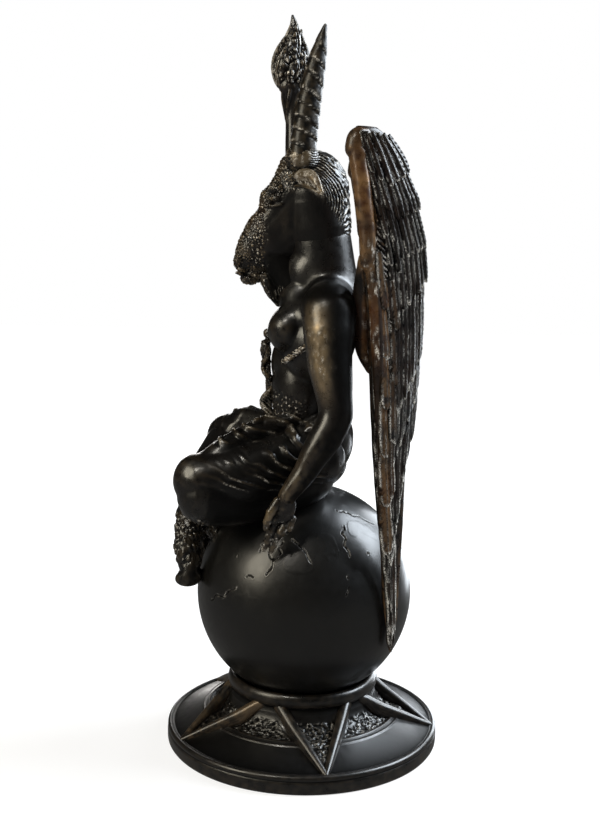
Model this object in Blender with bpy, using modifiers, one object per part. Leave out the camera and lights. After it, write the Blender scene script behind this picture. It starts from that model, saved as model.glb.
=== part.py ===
# Baphomet statue: a winged goat-headed figure sitting cross-legged on a globe, on a round base with a star.
# The figure faces -Y and its left side is +X. Metres, +Z up, origin at the middle of the base's underside.

import math

import bmesh
import bpy
from mathutils import Euler, Matrix, Vector

# Base
BASE_RADIUS = 0.0733
RIM_EDGE = 0.0008
RIM_HEIGHT = 0.0075
RIM_WIDTH = 0.0033
RIM_RISE = 0.0020
FLOOR_RISE = 0.0070
RING_RADIUS = 0.0528
RING_WIDTH = 0.0036
RING_RELIEF = 0.0011
FLARE_RISE = 0.0125
COLLAR_RADIUS = 0.0395
COLLAR_BULGE = 0.0009
COLLAR_HEIGHT = 0.0072
MOUTH_RADIUS = 0.0368
TURN_STEPS = 40

# Star on the base: two ribs run from each tip to the collar and spread that far round from the tip
STAR_TURN = math.radians(-5.0)
STAR_POINTS = 5
RIB_SPREAD = math.radians(30.0)
RIB_RADIUS = 0.0027
RIB_TIP_RADIUS = 0.0017
RIB_SINK = 0.0006
RIB_STEP = 0.00015
RIB_OVERRUN = 0.0009
RIB_STATIONS = 6

# Globe
GLOBE_RADIUS = 0.0576
GLOBE_SEGMENTS = 32
GLOBE_ROWS = 57.6
CUP_STEPS = 4

# Gap that separate castings keep where they are glued
GLUE_GAP = 0.0003
CUP_GAP = 0.0004

# Figure: height of the carving above the globe's crown, and the carver's grid of that height.
# The globe's radius as the wings were carved to it is GLOBE_ROWS squares of the grid.
# The grid's rows are counted from the table under the statue, so the crown of the globe is on row 138.
FIGURE_HEIGHT = 0.2420
GRID_ROWS = 242.0
CROWN_ROW = 138.1
FIGURE_SKIN = 0.0012
FIGURE_TRIANGLES = 3100

# Wings, on the same grid
WING_SKIN = 0.0008
WING_TRIANGLES = 1150
WING_JOINT_ROW = 26.0
WING_FROM_GLOBE = 0.0016

GRID = FIGURE_HEIGHT / GRID_ROWS


# Places that follow from the base: the star's tips touch the inner edge of the rim
STAR_RADIUS = BASE_RADIUS - RIM_WIDTH
FLOOR_EDGE = RIM_HEIGHT + RIM_RISE
RING_FOOT = FLOOR_EDGE + FLOOR_RISE
COLLAR_FOOT = RING_FOOT + FLARE_RISE
COLLAR_TOP = COLLAR_FOOT + COLLAR_HEIGHT
CUP_RADIUS = GLOBE_RADIUS + CUP_GAP
GLOBE_CENTRE = COLLAR_TOP + math.sqrt(CUP_RADIUS ** 2 - MOUTH_RADIUS ** 2)
CROWN = GLOBE_CENTRE + GLOBE_RADIUS


# Scene and materials

def clear_scene():
    for thing in list(bpy.data.objects):
        bpy.data.objects.remove(thing, do_unlink=True)


def new_collection(name):
    collection = bpy.data.collections.new(name)
    bpy.context.scene.collection.children.link(collection)
    return collection


def finish(name, colour, roughness, metallic):
    material = bpy.data.materials.new(name)
    material.use_nodes = True
    shader = material.node_tree.nodes["Principled BSDF"]
    shader.inputs["Base Color"].default_value = (*colour, 1.0)
    shader.inputs["Roughness"].default_value = roughness
    shader.inputs["Metallic"].default_value = metallic
    material.diffuse_color = (*colour, 1.0)
    return material


def new_object(name, mesh, collection, material=None):
    thing = bpy.data.objects.new(name, mesh)
    collection.objects.link(thing)
    if material:
        mesh.materials.append(material)
    return thing


def new_cutter(name, mesh, collection):
    cutter = new_object(name, mesh, collection)
    cutter.hide_render = True
    cutter.display_type = "WIRE"
    return cutter


def mesh_from(shape, name):
    bmesh.ops.recalc_face_normals(shape, faces=shape.faces)
    mesh = bpy.data.meshes.new(name)
    shape.to_mesh(mesh)
    shape.free()
    return mesh


def combine(target, tool, operation):
    boolean = target.modifiers.new(operation.title() + " " + tool.name, "BOOLEAN")
    boolean.operation = operation
    boolean.solver = "EXACT"
    boolean.object = tool


# Forms that the figure and the wings are built up from

def at(x, y, z):
    return Vector((x * GRID, y * GRID, CROWN + (z - CROWN_ROW) * GRID))


def mirrored(side, points):
    return [(side * x, *rest) for x, *rest in points]


def tube_mesh(points, sides, steps):
    """points are (position, radius); the tube is closed by flat caps."""
    curve = bpy.data.curves.new("tube", "CURVE")
    curve.dimensions = "3D"
    curve.bevel_depth = 1.0
    curve.bevel_resolution = sides // 2 - 2
    curve.resolution_u = steps
    curve.use_fill_caps = True
    smooth = steps > 1
    spline = curve.splines.new("BEZIER" if smooth else "POLY")
    stations = spline.bezier_points if smooth else spline.points
    stations.add(len(points) - 1)
    for station, (place, radius) in zip(stations, points):
        station.co = place if smooth else (*place, 1.0)
        station.radius = radius
        if smooth:
            station.handle_left_type = "AUTO"
            station.handle_right_type = "AUTO"
    holder = bpy.data.objects.new("tube", curve)
    bpy.context.scene.collection.objects.link(holder)
    evaluated = holder.evaluated_get(bpy.context.evaluated_depsgraph_get())
    mesh = bpy.data.meshes.new_from_object(evaluated)
    bpy.data.objects.remove(holder)
    bpy.data.curves.remove(curve)
    return mesh


def welded_tube(name, points, sides, collection):
    shape = bmesh.new()
    shape.from_mesh(tube_mesh(points, sides, 1))
    bmesh.ops.remove_doubles(shape, verts=shape.verts, dist=0.00001)
    return new_cutter(name, mesh_from(shape, name), collection)


def ball(clay, centre, radii, turn=(0.0, 0.0, 0.0)):
    spin = Euler([math.radians(angle) for angle in turn]).to_matrix().to_4x4()
    size = Matrix.Diagonal([radius * GRID for radius in radii] + [1.0])
    place = Matrix.Translation(at(*centre))
    bmesh.ops.create_icosphere(clay, subdivisions=3, radius=1.0, matrix=place @ spin @ size)


def limb(clay, points):
    stations = [(at(x, y, z), radius * GRID) for x, y, z, radius in points]
    clay.from_mesh(tube_mesh(stations, 12, 6))
    for x, y, z, radius in (points[0], points[-1]):
        ball(clay, (x, y, z), (radius, radius, radius))


def blade(clay, spine, across, widths, thickness):
    """A closed leaf: each station has two edges, a ridge above and a back below."""
    rings = []
    for place, side, half_width in zip(spine, across, widths):
        ahead = (spine[-1] - spine[0]).normalized()
        lift = side.cross(ahead).normalized() * thickness
        corners = (place - side * half_width, place + lift, place + side * half_width, place - lift)
        rings.append([clay.verts.new(corner) for corner in corners])
    for ring, following in zip(rings, rings[1:]):
        for step in range(4):
            after = (step + 1) % 4
            clay.faces.new((ring[step], ring[after], following[after], following[step]))
    clay.faces.new(reversed(rings[0]))
    clay.faces.new(rings[-1])


def evaluated_mesh(thing):
    bpy.context.view_layer.update()
    return bpy.data.meshes.new_from_object(thing.evaluated_get(bpy.context.evaluated_depsgraph_get()))


def largest_island(mesh):
    """Drops the crumbs that thinning leaves beside the one large skin."""
    shape = bmesh.new()
    shape.from_mesh(mesh)
    loose = set(shape.verts)
    largest = set()
    while loose:
        front = [loose.pop()]
        island = set(front)
        while front:
            for edge in front.pop().link_edges:
                for vert in edge.verts:
                    if vert in loose:
                        loose.remove(vert)
                        island.add(vert)
                        front.append(vert)
        largest = max(largest, island, key=len)
    crumbs = [vert for vert in shape.verts if vert not in largest]
    bmesh.ops.delete(shape, geom=crumbs, context="VERTS")
    shape.to_mesh(mesh)
    shape.free()


def fuse(name, clay, skin, triangles, collection, material):
    """Overlapping forms become one skin, thinned to about the given number of triangles."""
    thing = new_object(name, mesh_from(clay, name), collection, material)
    remesh = thing.modifiers.new("Skin", "REMESH")
    remesh.mode = "VOXEL"
    remesh.voxel_size = skin
    soften = thing.modifiers.new("Soften", "SMOOTH")
    soften.factor = 0.5
    soften.iterations = 2
    thing.data = evaluated_mesh(thing)
    thing.modifiers.clear()
    thinning = thing.modifiers.new("Thin", "DECIMATE")
    thinning.ratio = min(1.0, triangles / (2.0 * len(thing.data.polygons)))
    thing.data = evaluated_mesh(thing)
    thing.modifiers.clear()
    largest_island(thing.data)
    return thing


# Base

def cup_profile():
    reach = math.asin(MOUTH_RADIUS / CUP_RADIUS)
    angles = [reach * step / CUP_STEPS for step in range(CUP_STEPS + 1)]
    return [(CUP_RADIUS * math.sin(a), GLOBE_CENTRE - CUP_RADIUS * math.cos(a)) for a in angles]


def floor_profile():
    """The top of the base from the collar's foot out to the rim's top."""
    ring_inner = RING_RADIUS - RING_WIDTH / 2
    ring_outer = RING_RADIUS + RING_WIDTH / 2
    reach = ring_inner - COLLAR_RADIUS
    flare = []
    for degrees in (90, 62, 38, 16):
        a = math.radians(degrees)
        flare.append((ring_inner - reach * math.sin(a), COLLAR_FOOT - FLARE_RISE * math.cos(a)))
    ring = [
        (ring_inner, RING_FOOT),
        (ring_inner + RING_RELIEF / 2, RING_FOOT + RING_RELIEF),
        (ring_outer - RING_RELIEF / 2, RING_FOOT + RING_RELIEF * 0.4),
        (ring_outer, RING_FOOT - RING_RELIEF * 0.6),
    ]
    return flare + ring + [(BASE_RADIUS - RIM_WIDTH, FLOOR_EDGE)]


def base_profile():
    middle = (COLLAR_FOOT + COLLAR_TOP) / 2
    collar = [
        ((MOUTH_RADIUS + COLLAR_RADIUS) / 2, COLLAR_TOP),
        (COLLAR_RADIUS, COLLAR_TOP - COLLAR_HEIGHT * 0.2),
        (COLLAR_RADIUS + COLLAR_BULGE, middle),
    ]
    rim = [
        (BASE_RADIUS - RIM_WIDTH * 0.35, FLOOR_EDGE - RIM_RISE * 0.25),
        (BASE_RADIUS, RIM_HEIGHT),
        (BASE_RADIUS, RIM_EDGE),
        (BASE_RADIUS - RIM_EDGE, 0.0),
        (0.0, 0.0),
    ]
    return cup_profile() + collar + floor_profile() + rim


def floor_height(radius):
    line = floor_profile()
    if radius <= line[0][0]:
        return line[0][1]
    for (r0, z0), (r1, z1) in zip(line, line[1:]):
        if radius <= r1:
            return z0 + (z1 - z0) * (radius - r0) / (r1 - r0)
    return line[-1][1]


def star_tip(index):
    angle = STAR_TURN + math.pi / 2 + index * 2 * math.pi / STAR_POINTS
    return Vector((STAR_RADIUS * math.cos(angle), STAR_RADIUS * math.sin(angle), 0.0))


def rib_points(tip, turn, sink):
    """From a tip of the star to the collar, which the rib runs into at that turn from the tip."""
    foot = tip.normalized() * (COLLAR_RADIUS - RIB_RADIUS)
    foot.rotate(Euler((0.0, 0.0, turn)))
    along = (foot - tip).normalized()
    length = (foot - tip).length + RIB_OVERRUN
    stations = []
    for step in range(RIB_STATIONS):
        share = step / (RIB_STATIONS - 1)
        place = tip + along * (length * share - RIB_OVERRUN)
        place.z = floor_height(place.length) - sink
        stations.append((place, RIB_TIP_RADIUS + (RIB_RADIUS - RIB_TIP_RADIUS) * share))
    return stations


def make_base(parts, cutters, material):
    shape = bmesh.new()
    corners = [shape.verts.new((radius, 0.0, height)) for radius, height in base_profile()]
    for start, end in zip(corners, corners[1:]):
        shape.edges.new((start, end))
    mesh = bpy.data.meshes.new("base")
    shape.to_mesh(mesh)
    shape.free()
    base = new_object("base", mesh, parts, material)
    turning = base.modifiers.new("Turning", "SCREW")
    turning.steps = TURN_STEPS
    turning.render_steps = TURN_STEPS
    turning.use_merge_vertices = True
    turning.merge_threshold = 0.00005
    for index in range(STAR_POINTS):
        for side in (-1, 1):  # one rib of a pair lies a little lower, so that the two share no edge
            stations = rib_points(star_tip(index), side * RIB_SPREAD, RIB_SINK + side * RIB_STEP)
            combine(base, welded_tube(f"star_rib_{index}_{side}", stations, 6, cutters), "UNION")
    return base


# Globe

def globe_mesh(radius):
    shape = bmesh.new()
    place = Matrix.Translation((0.0, 0.0, GLOBE_CENTRE))
    rings = GLOBE_SEGMENTS // 2
    bmesh.ops.create_uvsphere(shape, u_segments=GLOBE_SEGMENTS, v_segments=rings, radius=radius, matrix=place)
    return mesh_from(shape, "globe")


def off_globe(place, gap):
    """Moves a place that lies in the globe, or too near it, straight out from its centre."""
    centre = Vector((0.0, 0.0, GLOBE_CENTRE))
    reach = place - centre
    return centre + reach.normalized() * max(reach.length, GLOBE_RADIUS + gap)


# Figure: head

def horn_stations(side):
    """A ringed horn that leans back and outward as it thins."""
    stations = []
    rows = 20
    for step in range(rows + 1):
        t = step / rows
        middle = at(side * (10.5 + 9.0 * t), -4.0 + 11.0 * t ** 1.5, 306.0 + 64.0 * t)
        taper = 6.9 * (1.0 - t) ** 0.6 * (1.0 - 0.08 * t) + 0.5
        ring = 1.0 + 0.22 * ((step % 2) - 0.5) * (1.0 - 0.6 * t)
        stations.append((middle, taper * ring * GRID))
    return stations


def flame_tongue(lean, side, start, height, width):
    """A tongue of flame: a drop that swells low down and twists to a point."""
    stations = []
    rows = 8
    for step in range(rows + 1):
        t = step / rows
        sway = math.sin(t * math.pi * 1.4)
        middle = at(side * t * (1.0 - 0.7 * t) * 9.0, -11.5 + lean * sway, start + height * t)
        swell = math.sin(math.pi * min(1.0, 0.18 + t * 0.82)) ** 0.8
        stations.append((middle, (0.35 + width * swell) * GRID))
    return stations


def add_head(clay):
    ball(clay, (0, -3, 293), (16.5, 17, 20))
    ball(clay, (0, 3, 290), (18.5, 17.5, 22.5))
    limb(clay, [(0, 3, 286, 18), (0, 5, 270, 17.5), (0, 7, 256, 17)])
    limb(clay, [(0, -8, 290, 15.5), (0, -20, 275, 12.5), (0, -29, 262, 10), (0, -33, 254, 7.6)])
    ball(clay, (0, -15, 262), (12.5, 14, 15), (-32, 0, 0))
    ball(clay, (0, -31, 249), (7, 7, 4.5))
    ball(clay, (0, -9, 303), (9, 8, 8))
    for side in (-1, 1):
        ball(clay, (side * 5, -36.5, 255.5), (4, 4, 4))
        ball(clay, (side * 12.5, -15, 287), (4.5, 6.5, 5))
        ball(clay, (side * 10.5, -4, 305), (9, 9, 8))
    limb(clay, [(0, -27, 246, 5.5), (0, -22.5, 240, 5), (0, -18, 234, 2)])
    limb(clay, [(0, -14, 250, 8), (0, -12, 243, 7)])


def add_ear(clay, side):
    spine = [at(side * x, y, z) for x, y, z in ((14, -4, 296), (21, -1, 296.5), (28, 3, 294), (36, 8, 287))]
    across = [Vector((0.0, 0.72, -0.45))] * len(spine)
    widths = [4.0 * GRID, 7.0 * GRID, 6.2 * GRID, 2.2 * GRID]
    blade(clay, spine, across, widths, 2.6 * GRID)


# Figure: body

def add_torso(clay):
    ball(clay, (0, 3, 213), (28, 18.5, 27))
    ball(clay, (0, -0.5, 188), (21.5, 17.5, 28))
    ball(clay, (0, 4, 160), (33, 21, 19))
    limb(clay, [(-34, 11, 230, 11), (-18, 11, 236, 12), (18, 11, 236, 12), (34, 11, 230, 11)])
    limb(clay, [(0, 12, 232, 17), (0, 9, 250, 17.5), (0, 5, 270, 17)])
    limb(clay, [(0, -2, 226, 13), (0, -6, 240, 11.5), (0, -9, 255, 10)])
    for side in (-1, 1):
        ball(clay, (side * 14, -10, 219), (11, 10.5, 10.5))
    limb(clay, [(0, -20.5, 170, 3.4), (0, -20.2, 190, 3.2), (0, -20.2, 208, 3.0), (0, -20, 221, 3.0)])
    for row, reach in ((180, 2.5), (192, 3.5), (204, 4.5)):
        for side in (-1, 1):
            ball(clay, (side * reach, -20, row), (3.4, 2.8, 3.4))


def add_lowered_arm(clay):
    limb(clay, [(35, 12, 229, 12.3), (42, 12.5, 212, 11.4), (46.5, 15, 194, 9.2), (48, 18, 182, 8.4)])
    limb(clay, [(48, 18, 182, 8.4), (50.5, 10, 169, 7.8), (52, 1, 155, 5.9), (52, -6, 145, 4.9)])
    ball(clay, (52, -9.5, 135), (4.6, 7.6, 11), (-16, 0, 0))
    limb(clay, [(52, -13, 129, 3.2), (52.5, -15.5, 122, 2.8), (52, -17.2, 116, 2.2)])
    limb(clay, [(50.5, -9, 128, 3.3), (50.5, -12, 121, 2.9), (50, -14.2, 115.5, 2.2)])
    ball(clay, (50.5, -3.5, 128), (4.4, 5, 5))
    limb(clay, [(54, -12, 140, 2.9), (55, -16, 134, 2.5), (54, -17, 129, 2.0)])


def add_raised_arm(clay):
    limb(clay, [(-35, 12, 229, 12.3), (-44, 11, 213, 11), (-52, 8, 197, 9), (-55, 6, 189, 8.2)])
    limb(clay, [(-55, 6, 189, 8.2), (-56, 2, 203, 7.8), (-54, -2, 219, 5.8), (-52, -4, 230, 4.8)])
    ball(clay, (-51, -5, 240), (4.6, 7.6, 10.5), (8, 0, 0))
    limb(clay, [(-51, -8, 247, 3.1), (-50.5, -9, 256, 2.7), (-50, -9.5, 264, 2.1)])
    limb(clay, [(-51, -3.5, 248, 3.2), (-50.5, -4, 258, 2.8), (-50, -4, 266, 2.1)])
    ball(clay, (-49, 1, 246), (4.4, 4.6, 5))
    limb(clay, [(-50, -10, 238, 3), (-47, -13, 244, 2.5), (-46, -13, 249, 2.0)])


# Figure: legs and cloth

def add_thigh(clay, side, knee_lift, knee_back):
    knee = (side * 44, -49 + knee_back, 147 + knee_lift)
    middle = (side * 35, -24 + knee_back / 2, 150 + knee_lift * 0.8)
    limb(clay, [(side * 20, 4, 157, 18), (*middle, 16.5), (*knee, 13.4)])
    ball(clay, (side * 22, -28, 143 + knee_lift / 2), (24, 27, 17))
    below = [(44, -47 + knee_back, 139, 14.5), (34, -32, 137, 14.5), (26, -14, 140, 14), (20, 2, 146, 14)]
    limb(clay, [(side * x, y, z + knee_lift, radius) for x, y, z, radius in below])
    for fold in range(7):
        spread = fold / 6.0
        start = (side * (12 + 18 * spread), -8 - 12 * (1 - spread), 174 - 17 * spread + knee_lift / 2)
        swell = (side * (24 + 24 * spread), -30, 166 - 24 * spread + knee_lift)
        end = (side * (36 + 14 * spread), -52 + knee_back + 5 * spread, 160 - 15 * spread + knee_lift)
        limb(clay, [(*start, 2.0), (*swell, 2.9), (*end, 1.7)])


def add_shin(clay, side, knee_lift, over):
    """A shin that starts under its own knee and crosses to the other side, down to a cloven hoof."""
    reach = 4.5 if over else 0.0
    limb(clay, [
        (side * 38, -49, 144 + knee_lift, 11.5),
        (side * 16, -53 - reach, 134 + knee_lift / 2, 11),
        (-side * 6, -57 - reach, 121, 9.5),
        (-side * 17, -60 - reach / 2, 108, 8.2),
        (-side * 20, -60, 97, 7.0),
    ])
    for toe in (-1, 1):
        ball(clay, (-side * 20 + toe * 3.4, -60, 92), (4.4, 7.8, 6.4), (12, 0, 0))


def add_legs(clay):
    add_thigh(clay, 1, 0, 0)
    add_thigh(clay, -1, 9, 3)
    add_shin(clay, 1, 0, over=False)
    add_shin(clay, -1, 9, over=True)
    ball(clay, (0, -27, 152), (36, 26, 14))
    ball(clay, (0, -2, 150), (36, 24, 15))
    ball(clay, (0, -45, 139), (31, 12, 16))
    for swag in range(4):
        drop = 7 * swag
        limb(clay, [
            (-30, -38 - 3 * swag, 161 - drop, 3.0),
            (-4, -47 - 3 * swag, 150 - drop, 3.8),
            (28, -40 - 3 * swag, 154 - drop, 3.0),
        ])


def joint_cutter(name, front, back, collection):
    """A block between two rows of depth, as high and as wide as both wings' joints."""
    shape = bmesh.new()
    middle = at(0, (front + back) / 2, 225)
    size = Matrix.Diagonal((68 * GRID, (back - front) * GRID, 56 * GRID, 1.0))
    bmesh.ops.create_cube(shape, size=1.0, matrix=Matrix.Translation(middle) @ size)
    return new_cutter(name, mesh_from(shape, name), collection)


def make_figure(parts, cutters, material):
    clay = bmesh.new()
    add_head(clay)
    add_ear(clay, 1)
    add_ear(clay, -1)
    add_torso(clay)
    add_lowered_arm(clay)
    add_raised_arm(clay)
    add_legs(clay)
    limb(clay, [(0, -10, 300, 6), (0, -11.5, 318, 3.6), (0, -12, 334, 3.2), (0, -12.5, 343, 4.6)])
    for side in (-1, 1):
        ball(clay, (side * 18, 17, 224), (11, 12, 20))
    figure = fuse("figure", clay, FIGURE_SKIN, FIGURE_TRIANGLES, parts, material)
    for side, word in ((1, "left"), (-1, "right")):
        combine(figure, welded_tube(f"horn_{word}", horn_stations(side), 8, cutters), "UNION")
    tongues = {
        "middle": flame_tongue(1.2, 0.0, 341.0, 39.0, 6.2),
        "front": flame_tongue(-5.4, 0.6, 342.0, 27.0, 3.6),
        "back": flame_tongue(6.2, -0.6, 342.0, 24.0, 3.4),
    }
    for word, stations in tongues.items():
        combine(figure, welded_tube(f"flame_{word}", stations, 8, cutters), "UNION")
    seat = new_cutter("seat", globe_mesh(GLOBE_RADIUS + GLUE_GAP), cutters)
    combine(figure, seat, "DIFFERENCE")
    back = WING_JOINT_ROW - GLUE_GAP / 2 / GRID
    combine(figure, joint_cutter("back_plane", back, back + 40, cutters), "DIFFERENCE")
    return figure


# Wings

def along(rows, row):
    """Reads a table of (row, value, value...) at a row between its own, by straight lines."""
    rows = sorted(rows)
    row = min(max(row, rows[0][0]), rows[-1][0])
    for low, high in zip(rows, rows[1:]):
        if row <= high[0]:
            share = (row - low[0]) / (high[0] - low[0])
            return [a + (b - a) * share for a, b in zip(low[1:], high[1:])]
    return list(rows[-1][1:])


# Row, then the leading edge's X and Y and the trailing edge's X and Y, in grid squares
WING_EDGES = [
    (58, 33, 46.2, 33, 46.9),
    (66, 37, 44.2, 35, 47.8),
    (82, 41, 42.6, 36.5, 48.8),
    (100, 41.5, 41.2, 36, 49.4),
    (125, 41.5, 39.2, 33.5, 50.4),
    (155, 42, 36.2, 28, 51.2),
    (186, 43, 34.0, 17, 54.3),
    (215, 43, 32.2, 11, 56.0),
    (243, 44, 29.5, 12, 57.2),
    (262, 45.5, 27.6, 15, 56.4),
    (286, 46, 24.0, 23, 51.3),
    (305, 45, 21.6, 30, 43.7),
    (314, 44.5, 20.5, 35, 38.5),
    (319, 43.5, 24.5, 40, 31.0),
]


def wing_place(side, share, row, lift=0.0):
    """share 0 is the leading edge and 1 the trailing edge; lift stands off the outer face."""
    x0, y0, x1, y1 = along(WING_EDGES, row)
    x = x0 + (x1 - x0) * share
    y = y0 + (y1 - y0) * share
    bulge = 4.0 * share * (1.0 - share) * math.hypot(x1 - x0, y1 - y0) * 0.09
    outward = Vector((abs(y1 - y0), abs(x1 - x0), 0.0)).normalized() * (lift + bulge)
    place = at(side * (x + outward.x), y + outward.y, row)
    beside = min(1.0, max(0.0, (CROWN_ROW - row) / GLOBE_ROWS))
    away = Vector((place.x, place.y, 0.0)).normalized() * (GLOBE_RADIUS - GLOBE_ROWS * GRID)
    return off_globe(place + away * beside, WING_FROM_GLOBE)


def wing_sheet(clay, side):
    """The sheet that carries the feathers, closed by its two faces and its edges."""
    rows = [58.5 + (318.0 - 58.5) * step / 26 for step in range(27)]
    shares = [0.0, 0.25, 0.5, 0.75, 1.0]
    faces = []
    for lift in (-1.1, 1.1):
        faces.append([[clay.verts.new(wing_place(side, share, row, lift)) for share in shares] for row in rows])
    inner, outer = faces
    for grid in (inner, outer):
        for low, high in zip(grid, grid[1:]):
            for step in range(len(shares) - 1):
                clay.faces.new((low[step], low[step + 1], high[step + 1], high[step]))
    for edge in (0, len(shares) - 1):
        for step in range(len(rows) - 1):
            clay.faces.new((inner[step][edge], inner[step + 1][edge], outer[step + 1][edge], outer[step][edge]))
    for row in (0, len(rows) - 1):
        for step in range(len(shares) - 1):
            clay.faces.new((inner[row][step], inner[row][step + 1], outer[row][step + 1], outer[row][step]))


def feather(clay, side, root, tip, width, lift):
    """root and tip are (share, row); the feather is widest past its middle and round at the tip."""
    shape = [(0.0, 0.55), (0.35, 0.9), (0.7, 1.0), (0.9, 0.8), (1.0, 0.4)]
    spine = []
    across = []
    for t, _ in shape:
        bow = t ** 1.3
        share = root[0] + (tip[0] - root[0]) * bow
        row = root[1] + (tip[1] - root[1]) * t
        spine.append(wing_place(side, share, row, lift + 0.9 * t))
        x0, y0, x1, y1 = along(WING_EDGES, row)
        across.append(Vector((side * (x1 - x0), y1 - y0, 0.0)).normalized())
    widths = [width * share * GRID for _, share in shape]
    blade(clay, spine, across, widths, 1.5 * GRID)


def make_wing(side, name, parts, cutters, material):
    clay = bmesh.new()
    wing_sheet(clay, side)
    limb(clay, mirrored(side, [(40, 27, 311, 5.5), (45, 25.5, 300, 6), (46, 27, 283, 5.8), (46, 29, 264, 5)]))
    limb(clay, mirrored(side, [(45, 31, 262, 4.6), (44, 34, 240, 4), (43, 36, 216, 3)]))
    for step in range(7):
        t = step / 6.0
        feather(clay, side, (0.35 + 0.25 * t, 285 - 18 * t), (0.98, 290 - 62 * t), 5.2, 1.6)
    for step in range(8):
        t = step / 7.0
        feather(clay, side, (0.25 + 0.05 * t, 250 - 90 * t), (0.97 - 0.45 * t, 196 - 136 * t), 5.4, 1.3)
    for step in range(6):
        t = step / 5.0
        feather(clay, side, (0.1, 262 - 120 * t), (0.34, 225 - 128 * t), 4.6, 2.4)
    limb(clay, mirrored(side, [(18, 29, 222, 10), (26, 33, 229, 9), (37, 36, 238, 7), (43, 33, 250, 5.5)]))
    ball(clay, (side * 18, 30, 224), (10, 9, 18))
    wing = fuse(name, clay, WING_SKIN, WING_TRIANGLES, parts, material)
    front = WING_JOINT_ROW + GLUE_GAP / 2 / GRID
    cutter = joint_cutter(f"{name}_root_plane", front - 9, front, cutters)
    combine(wing, cutter, "DIFFERENCE")
    return wing


def main():
    clear_scene()
    parts = new_collection("baphomet_statue")
    cutters = new_collection("cutters")
    bronze = (0.030, 0.027, 0.026)
    make_base(parts, cutters, finish("base_bronze", bronze, 0.42, 0.55))
    globe = new_object("globe", globe_mesh(GLOBE_RADIUS), parts, finish("globe_bronze", (0.020, 0.020, 0.022), 0.38, 0.55))
    globe.data.shade_smooth()
    make_figure(parts, cutters, finish("figure_bronze", (0.040, 0.034, 0.030), 0.40, 0.60))
    wing_finish = finish("wing_bronze", (0.075, 0.052, 0.038), 0.45, 0.60)
    make_wing(1, "wing_left", parts, cutters, wing_finish)
    make_wing(-1, "wing_right", parts, cutters, wing_finish)
    bpy.context.view_layer.update()


main()
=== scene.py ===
import math
import bmesh
import bpy
import numpy as np
from mathutils import Euler, Matrix, Vector


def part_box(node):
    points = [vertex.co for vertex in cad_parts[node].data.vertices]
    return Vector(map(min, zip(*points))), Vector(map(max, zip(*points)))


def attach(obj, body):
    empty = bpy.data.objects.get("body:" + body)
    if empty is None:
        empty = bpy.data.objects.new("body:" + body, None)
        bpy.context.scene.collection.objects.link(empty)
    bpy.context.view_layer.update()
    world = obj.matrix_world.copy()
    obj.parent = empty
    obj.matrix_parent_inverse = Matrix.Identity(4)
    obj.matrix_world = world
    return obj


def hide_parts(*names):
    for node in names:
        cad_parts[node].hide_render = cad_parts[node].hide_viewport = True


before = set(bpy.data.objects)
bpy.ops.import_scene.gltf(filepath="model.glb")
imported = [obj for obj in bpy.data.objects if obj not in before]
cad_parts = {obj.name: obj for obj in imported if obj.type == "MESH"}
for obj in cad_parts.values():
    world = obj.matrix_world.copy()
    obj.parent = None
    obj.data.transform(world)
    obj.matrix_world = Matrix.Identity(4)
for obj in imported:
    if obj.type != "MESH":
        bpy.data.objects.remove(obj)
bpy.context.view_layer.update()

# Looks of the baphomet statue: every casting is carved again at full detail in the place of its plain solid.
# Carving is done in millimetres; rows are heights as carved, and rowShift sets them on the real globe.
globeLow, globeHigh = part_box("globe")
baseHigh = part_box("base")[1]
globeRadius = (globeHigh[2] - globeLow[2]) * 500
globeMiddle = (globeHigh[2] + globeLow[2]) * 500
carvedTop = 138.1  # the top of the globe in the carved rows
rowShift = globeHigh[2] * 1000 - carvedTop
carvedMiddle = np.array([0, 0, carvedTop - globeRadius])
print("frame loaded, globe radius", round(globeRadius, 2), "mm")


# numbers and noise

def grainCells(cells, seed):
    n = cells[..., 0] * 73856093 ^ cells[..., 1] * 19349663 ^ cells[..., 2] * 83492791 ^ (seed * 265443 + 97)
    n = (n ^ (n >> 13)) * 1274126177
    return ((n ^ (n >> 16)) & 0xFFFFFF) / 0xFFFFFF


def grain(points, size, seed=0):  # smooth noise from -1 to 1, with lumps of that size
    spot = points / size
    cell = np.floor(spot).astype(np.int64)
    part = spot - cell
    part = part * part * (3 - 2 * part)
    total = np.zeros(len(points))
    for dx in (0, 1):
        for dy in (0, 1):
            for dz in (0, 1):
                weight = (part[:, 0] if dx else 1 - part[:, 0]) * (part[:, 1] if dy else 1 - part[:, 1])
                weight = weight * (part[:, 2] if dz else 1 - part[:, 2])
                total += weight * grainCells(cell + np.array([dx, dy, dz]), seed)
    return total * 2 - 1


def pebbles(points, size, seed=0):  # how much farther the second nearest pebble is than the nearest, in sizes
    spot = points / size
    cell = np.floor(spot).astype(np.int64)
    near = np.full(len(points), 9.0)
    second = np.full(len(points), 9.0)
    for dx in (-1, 0, 1):
        for dy in (-1, 0, 1):
            for dz in (-1, 0, 1):
                other = cell + np.array([dx, dy, dz])
                middle = other + np.stack([grainCells(other, seed + k) for k in (1, 2, 3)], axis=1)
                gap = np.linalg.norm(middle - spot, axis=1)
                second = np.minimum(second, np.maximum(near, gap))
                near = np.minimum(near, gap)
    return second - near


def fade(value, low, high):
    t = np.clip((value - low) / (high - low), 0, 1)
    return t * t * (3 - 2 * t)


def bump(*facts):  # pairs of value and width: 1 where each value is 0, falling off over the widths
    return np.exp(-sum((value / width) ** 2 for value, width in zip(facts[::2], facts[1::2])))


# clay: overlapping closed forms, fused to one skin afterwards

def newClay():
    return {"points": [], "faces": [], "count": 0}


def addForm(clay, points, faces):
    clay["points"].append(points)
    clay["faces"] += [block + clay["count"] for block in faces]
    clay["count"] += len(points)


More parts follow.
